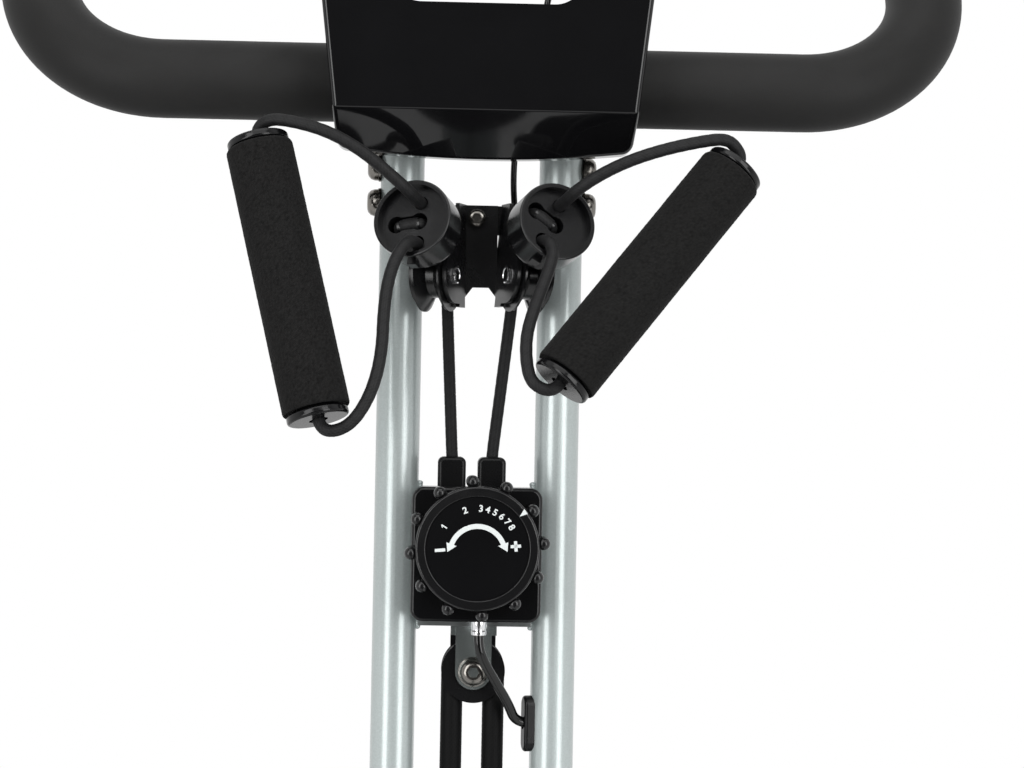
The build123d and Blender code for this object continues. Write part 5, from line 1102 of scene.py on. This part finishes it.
class BIKE_OT_dial(bpy.types.Operator):
    """Prints plain numbers, an arrow and a pointer on the tension dial"""
    bl_idname = "bike.dial"
    bl_label = "Dial print"

    def execute(self, context):
        dial = context.scene.bike_dial
        plane = facing(post_place((0.0, DIAL_T, DIAL_N)), POST_OUT)
        shape = bmesh.new()
        for text, degrees in FIGURES.items():
            turn = math.radians(degrees)
            aside, climb = dial.figure_ring * math.cos(turn), dial.figure_ring * math.sin(turn)
            upright = Matrix.Rotation(turn - math.pi / 2, 4, "Z")
            spot = plane @ Matrix.Translation((aside, climb, 0.0)) @ upright
            if text == "1":
                flat_shape(shape, figure_one(dial.figure_height), spot)
                continue
            mesh = figure_mesh(text, dial.figure_height)
            mesh.transform(spot)
            shape.from_mesh(mesh)
            bpy.data.meshes.remove(mesh)
        outer, inner = arrow_band()
        for step in range(len(outer) - 1):
            flat_shape(shape, [inner[step], outer[step], outer[step + 1], inner[step + 1]][::-1], plane)
        flat_shape(shape, arrow_head(ARROW_FROM, -1), plane)
        flat_shape(shape, arrow_head(ARROW_TO, 1), plane)
        for spot, turn in ((MINUS_AT, 0.0), (PLUS_AT, 0.0), (PLUS_AT, math.pi / 2)):
            flat_shape(shape, bar_outline(*spot, SIGN_L, SIGN_W, SIGN_TILT + turn), plane)
        bmesh.ops.remove_doubles(shape, verts=shape.verts, dist=1e-7)
        marks = bmesh_piece("dial_marks", shape, "dial_print", smooth=False)
        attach(marks, "post")
        pointer_plane = facing(post_place((0.0, DIAL_T, KNOB_TOP_N)), POST_OUT)
        pointer = bmesh.new()
        flat_shape(pointer, POINTER, pointer_plane)
        piece = bmesh_piece("dial_pointer", pointer, "dial_print", smooth=False)
        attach(piece, "knob")
        return {"FINISHED"}


# Fasteners and welds

# Turned forms, as rows of (radius, height, corners)
SOCKET_HEAD = [(0.0044, 0.0, 0), (0.00445, 0.0006, 0), (0.0044, 0.0026, 0), (0.0040, 0.0036, 0),
               (0.0032, 0.0041, 0), (0.0023, 0.0042, 6), (0.0022, 0.0039, 6), (0.0022, 0.0020, 6)]
BUMP_DOME = [(0.0030, 0.0, 0), (0.0032, 0.0006, 0), (0.0032, 0.0018, 0), (0.0030, 0.0030, 0),
             (0.0025, 0.0040, 0), (0.0017, 0.0047, 0), (0.0007, 0.0050, 0)]
DOME_HEAD = [(0.0074, 0.0, 0), (0.0074, 0.0010, 0), (0.0069, 0.0012, 0), (0.0068, 0.0030, 0),
             (0.0062, 0.0048, 0), (0.0048, 0.0061, 0), (0.0036, 0.0065, 0), (0.0030, 0.0064, 6),
             (0.0029, 0.0042, 6)]
PAN_HEAD = [(0.0052, 0.0, 0), (0.0053, 0.0012, 0), (0.0050, 0.0024, 0), (0.0040, 0.0032, 0),
            (0.0026, 0.0034, 0), (0.0022, 0.0033, 4), (0.0019, 0.0020, 4)]
BLOCK_HEAD = [(0.0076, 0.0, 0), (0.0076, 0.0009, 0), (0.0070, 0.0012, 0), (0.0068, 0.0020, 0),
              (0.0063, 0.0033, 0), (0.0053, 0.0043, 0), (0.0041, 0.0049, 0), (0.0031, 0.0051, 0),
              (0.0028, 0.0050, 6), (0.0027, 0.0024, 6)]
RIVET_RIM = [(0.0043, 0.0, 0), (0.0045, 0.0006, 0), (0.0043, 0.0012, 0), (0.0038, 0.0015, 0),
             (0.0032, 0.0014, 0), (0.0029, 0.0009, 0)]
# A black disc in each hollow rivet's mouth: painted shade standing in for the dark inside the hole
RIVET_HOLE_SHADE = [(0.0026, 0.0006, 0), (0.0030, 0.0010, 0), (0.0029, 0.00115, 0), (0.0010, 0.00108, 0)]
FERRULE = [(0.0030, 0.0, 0), (0.0036, 0.0003, 0), (0.0038, 0.0010, 0), (0.0038, 0.0022, 0),
           (0.00356, 0.0026, 0), (0.00356, 0.0032, 0), (0.0038, 0.0036, 0), (0.0038, 0.0074, 0)]

# Where they sit in the post's frame, and each cord pulley's middle and axle
STEM_BOLT_X = 51.0
STEM_BOLTS_T = (-42.0, -60.0)
BRACKET_BOLT = (-2.5, -68.0, 13.5)
BLOCK_BOLT = (0.0, LOOP_TOP_T, 5.0)
FERRULE_END = (2.0, -274.9, 22.0)
PULLEYS = {
    "left": ((-22.0, -97.5, 26.0), (0.9411, 0.0197, 0.3375)),
    "right": ((22.0, -97.5, 26.0), (-0.9439, 0.0787, 0.3209)),
}
RIVET_REACH = 9.7

# The housing's screws, as (y, z) on each side of the bike
HOUSING_HALF_W = 58.0
HOUSING_SCREWS = ((49.0, 293.7), (175.0, 334.6), (340.1, 233.6), (385.9, 347.0))


def fasteners(name, rows, places, ways, finish, body):
    """One piece with the same turned head at every place."""
    shape = bmesh.new()
    turned_rows(shape, rows, Matrix.Identity(4), sides=36)
    head = bmesh_piece("head", shape, finish)
    host = points_host(name + "_points", places, ways)
    piece = grow(host, tree_named("fasteners", fastener_tree), name, fastener=head,
                 material=finish_of(finish))
    bpy.data.objects.remove(head)
    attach(piece, body)
    return piece


class BIKE_OT_fasteners(bpy.types.Operator):
    """Puts detailed heads on the bolts and screws"""
    bl_idname = "bike.fasteners"
    bl_label = "Bolts and screws"

    def execute(self, context):
        places, ways = [], []
        for side in (-1, 1):
            for t in STEM_BOLTS_T:
                places.append(post_place((side * STEM_BOLT_X, t, 0.0)))
                ways.append((side, 0.0, 0.0))
        fasteners("stem_bolts", DOME_HEAD, places, ways, "dark_steel", "post")
        fasteners("bracket_bolt", SOCKET_HEAD, [post_place(BRACKET_BOLT)], [POST_OUT], "dark_steel", "post")
        fasteners("block_bolt", BLOCK_HEAD, [post_place(BLOCK_BOLT)], [POST_OUT], "dark_steel", "block")
        places = []
        for bump in range(KNOB_BUMPS):
            turn = KNOB_BUMP_TURN + 2.0 * math.pi * bump / KNOB_BUMPS
            aside, climb = KNOB_BUMP_RING * math.cos(turn), KNOB_BUMP_RING * math.sin(turn)
            places.append(post_place((aside, DIAL_T + climb, KNOB_BUMP_N)))
        fasteners("knob_bumps", BUMP_DOME, places, [POST_OUT] * KNOB_BUMPS, "moulded_black", "knob")
        places, ways = [], []
        for centre, axis in PULLEYS.values():
            for end in (-1, 1):
                places.append(post_place(Vector(centre) + Vector(axis) * end * RIVET_REACH))
                ways.append(post_way(Vector(axis) * end))
        fasteners("rivet_rims", RIVET_RIM, places, ways, "chrome", "post")
        # No hole is cut in the rivets: a black disc over each one paints the shade inside it
        fasteners("rivet_eyes", RIVET_HOLE_SHADE, places, ways, "moulded_black", "post")
        fasteners("cable_ferrule", FERRULE, [post_place(FERRULE_END)], [POST_UP], "chrome", "post")
        places, ways = [], []
        for side in (-1, 1):
            for y, z in HOUSING_SCREWS:
                places.append(Vector((side * HOUSING_HALF_W, y, z)) * MM)
                ways.append((side, 0.0, 0.0))
        fasteners("housing_screws", PAN_HEAD, places, ways, "zinc", "main_frame")
        return {"FINISHED"}


def weld_ring(centre, along, radius, drum_centre, drum_axis, drum_radius, steps=40):
    """Where a round tube meets a drum, in metres."""
    along = Vector(along).normalized()
    axis = Vector(drum_axis).normalized()
    square = facing((0.0, 0.0, 0.0), along).to_3x3()
    ring = []
    for step in range(steps):
        turn = 2.0 * math.pi * step / steps
        start = Vector(centre) + square @ Vector((math.cos(turn) * radius, math.sin(turn) * radius, 0.0))
        gap = start - Vector(drum_centre)
        gap = gap - axis * gap.dot(axis)
        way = along - axis * along.dot(axis)
        a, b, c = way.dot(way), 2.0 * gap.dot(way), gap.dot(gap) - drum_radius ** 2
        root = max(0.0, b * b - 4.0 * a * c) ** 0.5
        ring.append(start + along * ((-b + root) / (2.0 * a)))
    return ring


# Tubes and plates that are welded, in metres, with the plate's edges in the post's frame
PIVOT_SLEEVE_R = 0.017
MAIN_TUBE_R = 0.02225
POST_TUBE_R = 0.011
POST_TUBES_X = (-0.040, 0.040)
FOOT_TUBE_R = 0.025
PLATE_EDGE_X = 28.4
PLATE_FRONT_N = 1.2
PLATE_WELDS_T = ((-206.0, -200.5), (-272.5, -267.0))
MAIN_AXIS = (0.0, -0.6494, 0.7604)
PIVOT = (0.0, 0.020, 0.450)
REAR_FOOT = (-0.383, 0.032)
KNEE_WAY = (0.0, 0.3805, 0.3624)


class BIKE_OT_welds(bpy.types.Operator):
    """Lays weld beads where tubes and plates meet"""
    bl_idname = "bike.welds"
    bl_label = "Welds"

    def execute(self, context):
        silver = finish_of("silver_coat")
        beads = tree_named("weld beads", bead_tree)
        rings = []
        for side in (-1, 1):
            ring = weld_ring(PIVOT, (side, 0.0, 0.0), PIVOT_SLEEVE_R, PIVOT, MAIN_AXIS, MAIN_TUBE_R)
            rings.append((ring, True))
        piece = grow(rings_line("frame_weld_lines", rings), beads, "frame_welds", spacing=0.0022,
                     width=0.0022, seed=3, material=silver)
        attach(piece, "main_frame")
        rings = []
        for x in POST_TUBES_X:
            foot = (x, *REAR_FOOT)
            rings.append((weld_ring(foot, KNEE_WAY, POST_TUBE_R, foot, (1.0, 0.0, 0.0), FOOT_TUBE_R), True))
        for side in (-1, 1):
            for low, high in PLATE_WELDS_T:
                heights = (low, (low + high) / 2, high)
                rings.append(([post_place((side * PLATE_EDGE_X, t, PLATE_FRONT_N)) for t in heights], False))
        piece = grow(rings_line("post_weld_lines", rings), beads, "post_welds", spacing=0.0008, width=0.0017,
                     seed=5, material=silver)
        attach(piece, "post")
        return {"FINISHED"}


# Saddle

SADDLE_MIDDLE_Y = -0.19035
SADDLE_BASE_Z = 0.6853
SADDLE_L = 0.270
SADDLE_H = 0.062
SADDLE_INSET = 0.965
SADDLE_INSET_Z = 0.93
SADDLE_CELL = 0.0045
SADDLE_PINNED_H = 0.004
SWELL_PRESSURE = 4.0
SWELL_FRAMES = 20
SEAM_NEAR_X = 0.030
SEAM_SPREAD_X = 0.040
SEAM_DROP = 0.0022
SEAM_W = 0.0028
CHANNEL_DROP = 0.006
CHANNEL_W = 0.016
STITCH_ASIDE = 0.0028
STITCH_LIFT = 0.0002
THREAD_R = 0.00045


def swollen_cover(source, swell):
    """A copy of the saddle's solid, blown up a little like stuffed vinyl."""
    mesh = source.data.copy()
    shape = bmesh.new()
    shape.from_mesh(mesh)
    bmesh.ops.remove_doubles(shape, verts=shape.verts, dist=1e-5)
    shape.to_mesh(mesh)
    shape.free()
    obj = mesh_piece("saddle_cover", mesh, "saddle_vinyl")
    middle = Vector((0.0, SADDLE_MIDDLE_Y, SADDLE_BASE_Z))
    for vertex in mesh.vertices:
        reach = vertex.co - middle
        vertex.co = middle + Vector((reach.x * SADDLE_INSET, reach.y * SADDLE_INSET,
                                     reach.z * SADDLE_INSET_Z))
    mesh.remesh_voxel_size = SADDLE_CELL
    bpy.context.view_layer.objects.active = obj
    bpy.ops.object.voxel_remesh()
    simulate_swell(obj, swell)
    return obj


def simulate_swell(obj, swell):
    """Blows the cover up with its base pinned, no further than swell at any point."""
    rest = [vertex.co.copy() for vertex in obj.data.vertices]
    pinned_z = SADDLE_BASE_Z + SADDLE_PINNED_H
    pinned = obj.vertex_groups.new(name="base")
    pinned.add([vertex.index for vertex in obj.data.vertices if vertex.co.z < pinned_z], 1.0, "REPLACE")
    cloth = obj.modifiers.new("swell", "CLOTH")
    cloth.settings.use_pressure = True
    cloth.settings.uniform_pressure_force = SWELL_PRESSURE
    cloth.settings.effector_weights.gravity = 0.0
    cloth.settings.vertex_group_mass = "base"
    scene = bpy.context.scene
    for step in range(1, SWELL_FRAMES + 1):
        scene.frame_set(step)
    graph = bpy.context.evaluated_depsgraph_get()
    blown = obj.evaluated_get(graph).to_mesh()
    moved = [vertex.co.copy() for vertex in blown.vertices]
    obj.evaluated_get(graph).to_mesh_clear()
    obj.modifiers.remove(cloth)
    for vertex, start, end in zip(obj.data.vertices, rest, moved):
        step = end - start
        if step.length > swell:
            step = step * (swell / step.length)
        vertex.co = start + step
    scene.frame_set(1)


class BIKE_OT_saddle(bpy.types.Operator):
    """Makes the padded saddle with its seams and stitches"""
    bl_idname = "bike.saddle"
    bl_label = "Saddle"

    def execute(self, context):
        settings = context.scene.bike_saddle
        cover = swollen_cover(NODES["seat_cushion"], settings.swell)
        divide = cover.modifiers.new("divide", "SUBSURF")
        divide.levels = 1
        divide.render_levels = 1
        graph = context.evaluated_depsgraph_get()
        mesh = bpy.data.meshes.new_from_object(cover.evaluated_get(graph))
        cover.modifiers.clear()
        cover.data = mesh
        shape_seams(mesh)
        for polygon in mesh.polygons:
            polygon.use_smooth = True
        mesh.materials.clear()
        mesh.materials.append(finish_of("saddle_vinyl"))
        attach(cover, "seat")
        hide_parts("seat_cushion")
        lines = []
        for side in (-1, 1):
            for offset in (-STITCH_ASIDE, STITCH_ASIDE):
                lines.append((seam_points(cover, side, offset), False))
        stitches = grow(rings_line("seam_lines", lines), tree_named("stitches", stitch_tree),
                        "saddle_stitches", stitch=settings.stitch, thread=THREAD_R,
                        material=finish_of("moulded_grey"))
        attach(stitches, "seat")
        return {"FINISHED"}


def seam_x(y):
    """How far from the middle a seam runs, wider behind."""
    share = (y - SADDLE_MIDDLE_Y) / SADDLE_L + 0.5
    return SEAM_NEAR_X + SEAM_SPREAD_X * (1.0 - share) ** 1.5


def shape_seams(mesh):
    """Presses the middle channel and two sewn seams into the top."""
    for vertex in mesh.vertices:
        rise = (vertex.co.z - SADDLE_BASE_Z) / SADDLE_H
        top = max(0.0, min(1.0, (rise - 0.55) / 0.25))
        gap = abs(vertex.co.x) - seam_x(vertex.co.y)
        drop = SEAM_DROP * math.exp(-(gap / SEAM_W) ** 2)
        share = (vertex.co.y - SADDLE_MIDDLE_Y) / SADDLE_L + 0.5
        length_fade = max(0.0, math.sin(math.pi * min(1.0, max(0.0, share))))
        channel = CHANNEL_DROP * math.exp(-(vertex.co.x / CHANNEL_W) ** 2) * length_fade
        vertex.co.z -= (drop + channel) * top
    mesh.update()


def seam_points(cover, side, offset):
    """Points of a stitch line on the cover's top."""
    points = []
    steps = 60
    for step in range(steps + 1):
        share = 0.10 + 0.80 * step / steps
        y = SADDLE_MIDDLE_Y + SADDLE_L * (share - 0.5)
        x = side * (seam_x(y) + offset)
        hit, place, normal, index = cover.ray_cast(Vector((x, y, 1.0)), Vector((0.0, 0.0, -1.0)))
        if hit:
            points.append(place + normal * STITCH_LIFT)
    return points


# Toe straps

STRAP_HALF = 44.0
STRAP_FOOT = -12.0
STRAP_CENTRE = 18.8
STRAP_R = 44.2
STRAP_W = 32.0
STRAP_THICK = 2.0
STRAP_FORWARD = 25.0
STRAP_RIB = 0.35
STRAP_LEG_STEPS = 12
STRAP_ARCH_STEPS = 60
PEDALS = {"left": (-127.0, 10.2157, 308.55), "right": (127.0, 245.139, 223.045)}


def strap_arch():
    """The strap's middle line from one side of the pedal to the other, with its outward way."""
    stations = []
    leg = STRAP_CENTRE - STRAP_FOOT
    for step in range(STRAP_LEG_STEPS):
        stations.append((STRAP_HALF, STRAP_FOOT + leg * step / STRAP_LEG_STEPS, 1.0, 0.0))
    for step in range(STRAP_ARCH_STEPS + 1):
        turn = math.pi * step / STRAP_ARCH_STEPS
        aside, climb = math.cos(turn), math.sin(turn)
        stations.append((STRAP_R * aside, STRAP_CENTRE + STRAP_R * climb, aside, climb))
    for step in range(1, STRAP_LEG_STEPS + 1):
        stations.append((-STRAP_HALF, STRAP_CENTRE - leg * step / STRAP_LEG_STEPS, -1.0, 0.0))
    return stations


def strap_section(rib):
    """The strap's section, as (aside, share of the half thickness), with its middle raised by the rib."""
    edge = STRAP_W / 2
    web = 0.65 + rib
    return ((-edge + 0.8, -1.0), (edge - 0.8, -1.0), (edge, -0.5), (edge, 0.5), (edge - 0.8, 1.0),
            (edge - 4, 1.0), (edge - 5, web), (-edge + 5, web), (-edge + 4, 1.0), (-edge + 0.8, 1.0),
            (-edge, 0.5), (-edge, -0.5))


class BIKE_OT_toe_straps(bpy.types.Operator):
    """Makes the ribbed toe straps over the pedals"""
    bl_idname = "bike.toe_straps"
    bl_label = "Toe straps"

    def execute(self, context):
        for tail, centre in PEDALS.items():
            shape = bmesh.new()
            rings = []
            for index, (x, z, out_x, out_z) in enumerate(strap_arch()):
                ring = []
                for aside, share in strap_section(STRAP_RIB if index % 3 == 0 else 0.0):
                    lift = share * STRAP_THICK / 2
                    offset = Vector((x + out_x * lift, STRAP_FORWARD + aside, z + out_z * lift))
                    ring.append(shape.verts.new((Vector(centre) + offset) * MM))
                rings.append(ring)
            for low, high in zip(rings, rings[1:]):
                for side in range(len(low)):
                    after = (side + 1) % len(low)
                    shape.faces.new((low[side], low[after], high[after], high[side]))
            shape.faces.new(list(reversed(rings[0])))
            shape.faces.new(rings[-1])
            piece = bmesh_piece("toe_strap_" + tail, shape, "soft_rubber", smooth=False)
            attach(piece, tail + "_pedal")
            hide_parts("pedal_strap_" + tail)
        return {"FINISHED"}


# Stage, in metres

FLOOR_REACH = 9.0
FLOOR_PALE_R = 0.7
FLOOR_WHITE_R = 1.25
SIDE_LAMP = (0.95, 0.1, 1.35)
SIDE_LAMP_W = 0.7
SIDE_LAMP_H = 1.6
TOP_LAMP = (0.0, -0.4, 2.6)
TOP_LAMP_AIM = (0.0, 0.0, 0.5)
TOP_LAMP_W = 1.8


def stage_lamp(name, place, target, width, height, power):
    data = bpy.data.lights.new(name, "AREA")
    data.shape = "RECTANGLE"
    data.size = width
    data.size_y = height
    data.energy = power
    lamp = show(bpy.data.objects.new(name, data))
    lamp.location = place
    lamp.rotation_euler = (Vector(target) - Vector(place)).to_track_quat("-Z", "Y").to_euler()


def seen_rays(tree):
    """1 for rays that see the stage from the camera, in a mirror or through glass."""
    path = node(tree, "ShaderNodeLightPath").outputs
    seen = calc(tree, "MAXIMUM", path["Is Camera Ray"], path["Is Glossy Ray"])
    return calc(tree, "MAXIMUM", seen, path["Is Transmission Ray"])


def stage_floor(tint):
    """A pale floor that runs out to white."""
    mesh = bpy.data.meshes.new("floor")
    corners = [(x * FLOOR_REACH, y * FLOOR_REACH, 0.0) for x, y in ((-1, -1), (1, -1), (1, 1), (-1, 1))]
    mesh.from_pydata(corners, [], [(0, 1, 2, 3)])
    material = bpy.data.materials.new("floor")
    material.use_nodes = True
    tree = material.node_tree
    tree.nodes.clear()
    out = node(tree, "ShaderNodeOutputMaterial")
    place = node(tree, "ShaderNodeTexCoord").outputs["Object"]
    far = node(tree, "ShaderNodeVectorMath", {0: place}, operation="LENGTH").outputs["Value"]
    share = node(tree, "ShaderNodeMapRange",
                 {"Value": far, "From Min": FLOOR_PALE_R, "From Max": FLOOR_WHITE_R},
                 interpolation_type="SMOOTHSTEP").outputs["Result"]
    matt = node(tree, "ShaderNodeBsdfDiffuse", {"Color": (*tint, 1.0)})
    white = node(tree, "ShaderNodeEmission", {"Color": (1.0, 1.0, 1.0, 1.0), "Strength": 1.0})
    mixed = node(tree, "ShaderNodeMixShader", {0: calc(tree, "MULTIPLY", share, seen_rays(tree)),
                                               1: matt.outputs[0], 2: white.outputs[0]})
    tree.links.new(mixed.outputs[0], out.inputs["Surface"])
    mesh.materials.append(material)
    floor = show(bpy.data.objects.new("floor", mesh))


def stage_world(strength):
    """White to the eye, with a dim front that glossy pieces mirror, and soft light from all round."""
    world = bpy.data.worlds.new("studio")
    bpy.context.scene.world = world
    world.use_nodes = True
    tree = world.node_tree
    tree.nodes.clear()
    out = node(tree, "ShaderNodeOutputWorld")
    way = node(tree, "ShaderNodeTexCoord").outputs["Generated"]
    front = node(tree, "ShaderNodeVectorMath", {0: way, 1: POST_OUT},
                 operation="DOT_PRODUCT").outputs["Value"]
    dimmed = {"Value": front, "From Min": 0.2, "From Max": 0.8, "To Min": 1.0, "To Max": 0.09}
    mirrored = node(tree, "ShaderNodeMapRange", dimmed, interpolation_type="SMOOTHSTEP").outputs["Result"]
    path = node(tree, "ShaderNodeLightPath").outputs
    seen = calc(tree, "MAXIMUM", path["Is Camera Ray"], path["Is Transmission Ray"])
    lit = calc(tree, "MAXIMUM", seen, calc(tree, "MULTIPLY", path["Is Glossy Ray"], mirrored))
    level = calc(tree, "MAXIMUM", lit, calc(tree, "MULTIPLY", path["Is Diffuse Ray"], strength))
    sky = node(tree, "ShaderNodeBackground", {"Color": (1.0, 1.0, 1.0, 1.0), "Strength": level})
    tree.links.new(sky.outputs[0], out.inputs["Surface"])


def stage_camera():
    """The photograph's view of the upper post."""
    level = math.cos(VIEW_RISE)
    look = Vector((math.sin(VIEW_TURN) * level, math.sin(VIEW_RISE), -math.cos(VIEW_TURN) * level))
    right = look.cross(Vector((0.0, 1.0, 0.0))).normalized()
    up = right.cross(look)
    rolled_right = right * math.cos(VIEW_ROLL) + up * math.sin(VIEW_ROLL)
    rolled_up = up * math.cos(VIEW_ROLL) - right * math.sin(VIEW_ROLL)
    place = Vector(VIEW_TARGET) - look * VIEW_DISTANCE
    data = bpy.data.cameras.new("camera")
    data.sensor_width = 36.0
    data.lens = VIEW_LENS
    data.clip_start = 0.05
    data.clip_end = 60.0
    camera = show(bpy.data.objects.new("camera", data))
    turn = Matrix((post_way(rolled_right), post_way(rolled_up), post_way(-look))).transposed().to_4x4()
    camera.matrix_world = Matrix.Translation(post_place(place)) @ turn
    bpy.context.scene.camera = camera


class BIKE_OT_stage(bpy.types.Operator):
    """Sets the floor, the lamps, the sky and the camera"""
    bl_idname = "bike.stage"
    bl_label = "Studio"

    def execute(self, context):
        settings = context.scene.bike_stage
        context.scene.view_settings.view_transform = "Standard"
        stage_floor(tuple(settings.floor))
        stage_world(settings.sky)
        middle = post_place((0.0, -150.0, 0.0))
        for side, name in ((-1, "lamp_left"), (1, "lamp_right")):
            place = middle + post_way((side * SIDE_LAMP[0], SIDE_LAMP[1], SIDE_LAMP[2]))
            stage_lamp(name, place, middle, SIDE_LAMP_W, SIDE_LAMP_H, settings.key)
        stage_lamp("lamp_top", TOP_LAMP, TOP_LAMP_AIM, TOP_LAMP_W, TOP_LAMP_W, settings.fill)
        stage_camera()
        return {"FINISHED"}


# Panel and registration

OPERATORS = (BIKE_OT_paint, BIKE_OT_stage, BIKE_OT_handle_cords, BIKE_OT_cup_cords, BIKE_OT_arm_ropes,
             BIKE_OT_cables, BIKE_OT_bar_foam, BIKE_OT_grips, BIKE_OT_dial, BIKE_OT_fasteners, BIKE_OT_welds,
             BIKE_OT_saddle, BIKE_OT_toe_straps)


class BIKE_PT_panel(bpy.types.Panel):
    """Lists the bike's pieces and their settings"""
    bl_idname = "BIKE_PT_panel"
    bl_label = "Exercise bike"
    bl_space_type = "VIEW_3D"
    bl_region_type = "UI"
    bl_category = "Bike"

    def draw(self, context):
        column = self.layout.column()
        for operator in OPERATORS:
            column.operator(operator.bl_idname)
        for name, group in SETTINGS.items():
            box = self.layout.box()
            for key in group.__annotations__:
                box.prop(getattr(context.scene, name), key)


def register():
    for name, group in SETTINGS.items():
        bpy.utils.register_class(group)
        setattr(bpy.types.Scene, name, PointerProperty(type=group))
    for operator in OPERATORS:
        bpy.utils.register_class(operator)
    bpy.utils.register_class(BIKE_PT_panel)


def unregister():
    bpy.utils.unregister_class(BIKE_PT_panel)
    for operator in reversed(OPERATORS):
        bpy.utils.unregister_class(operator)
    for name, group in SETTINGS.items():
        delattr(bpy.types.Scene, name)
        bpy.utils.unregister_class(group)


def main():
    register()
    bpy.ops.bike.paint()
    bpy.ops.bike.stage()
    bpy.ops.bike.handle_cords()
    bpy.ops.bike.cup_cords()
    bpy.ops.bike.arm_ropes()
    bpy.ops.bike.cables()
    bpy.ops.bike.bar_foam()
    bpy.ops.bike.grips()
    bpy.ops.bike.dial()
    bpy.ops.bike.fasteners()
    bpy.ops.bike.welds()
    bpy.ops.bike.saddle()
    bpy.ops.bike.toe_straps()


if __name__ == "__main__":
    main()
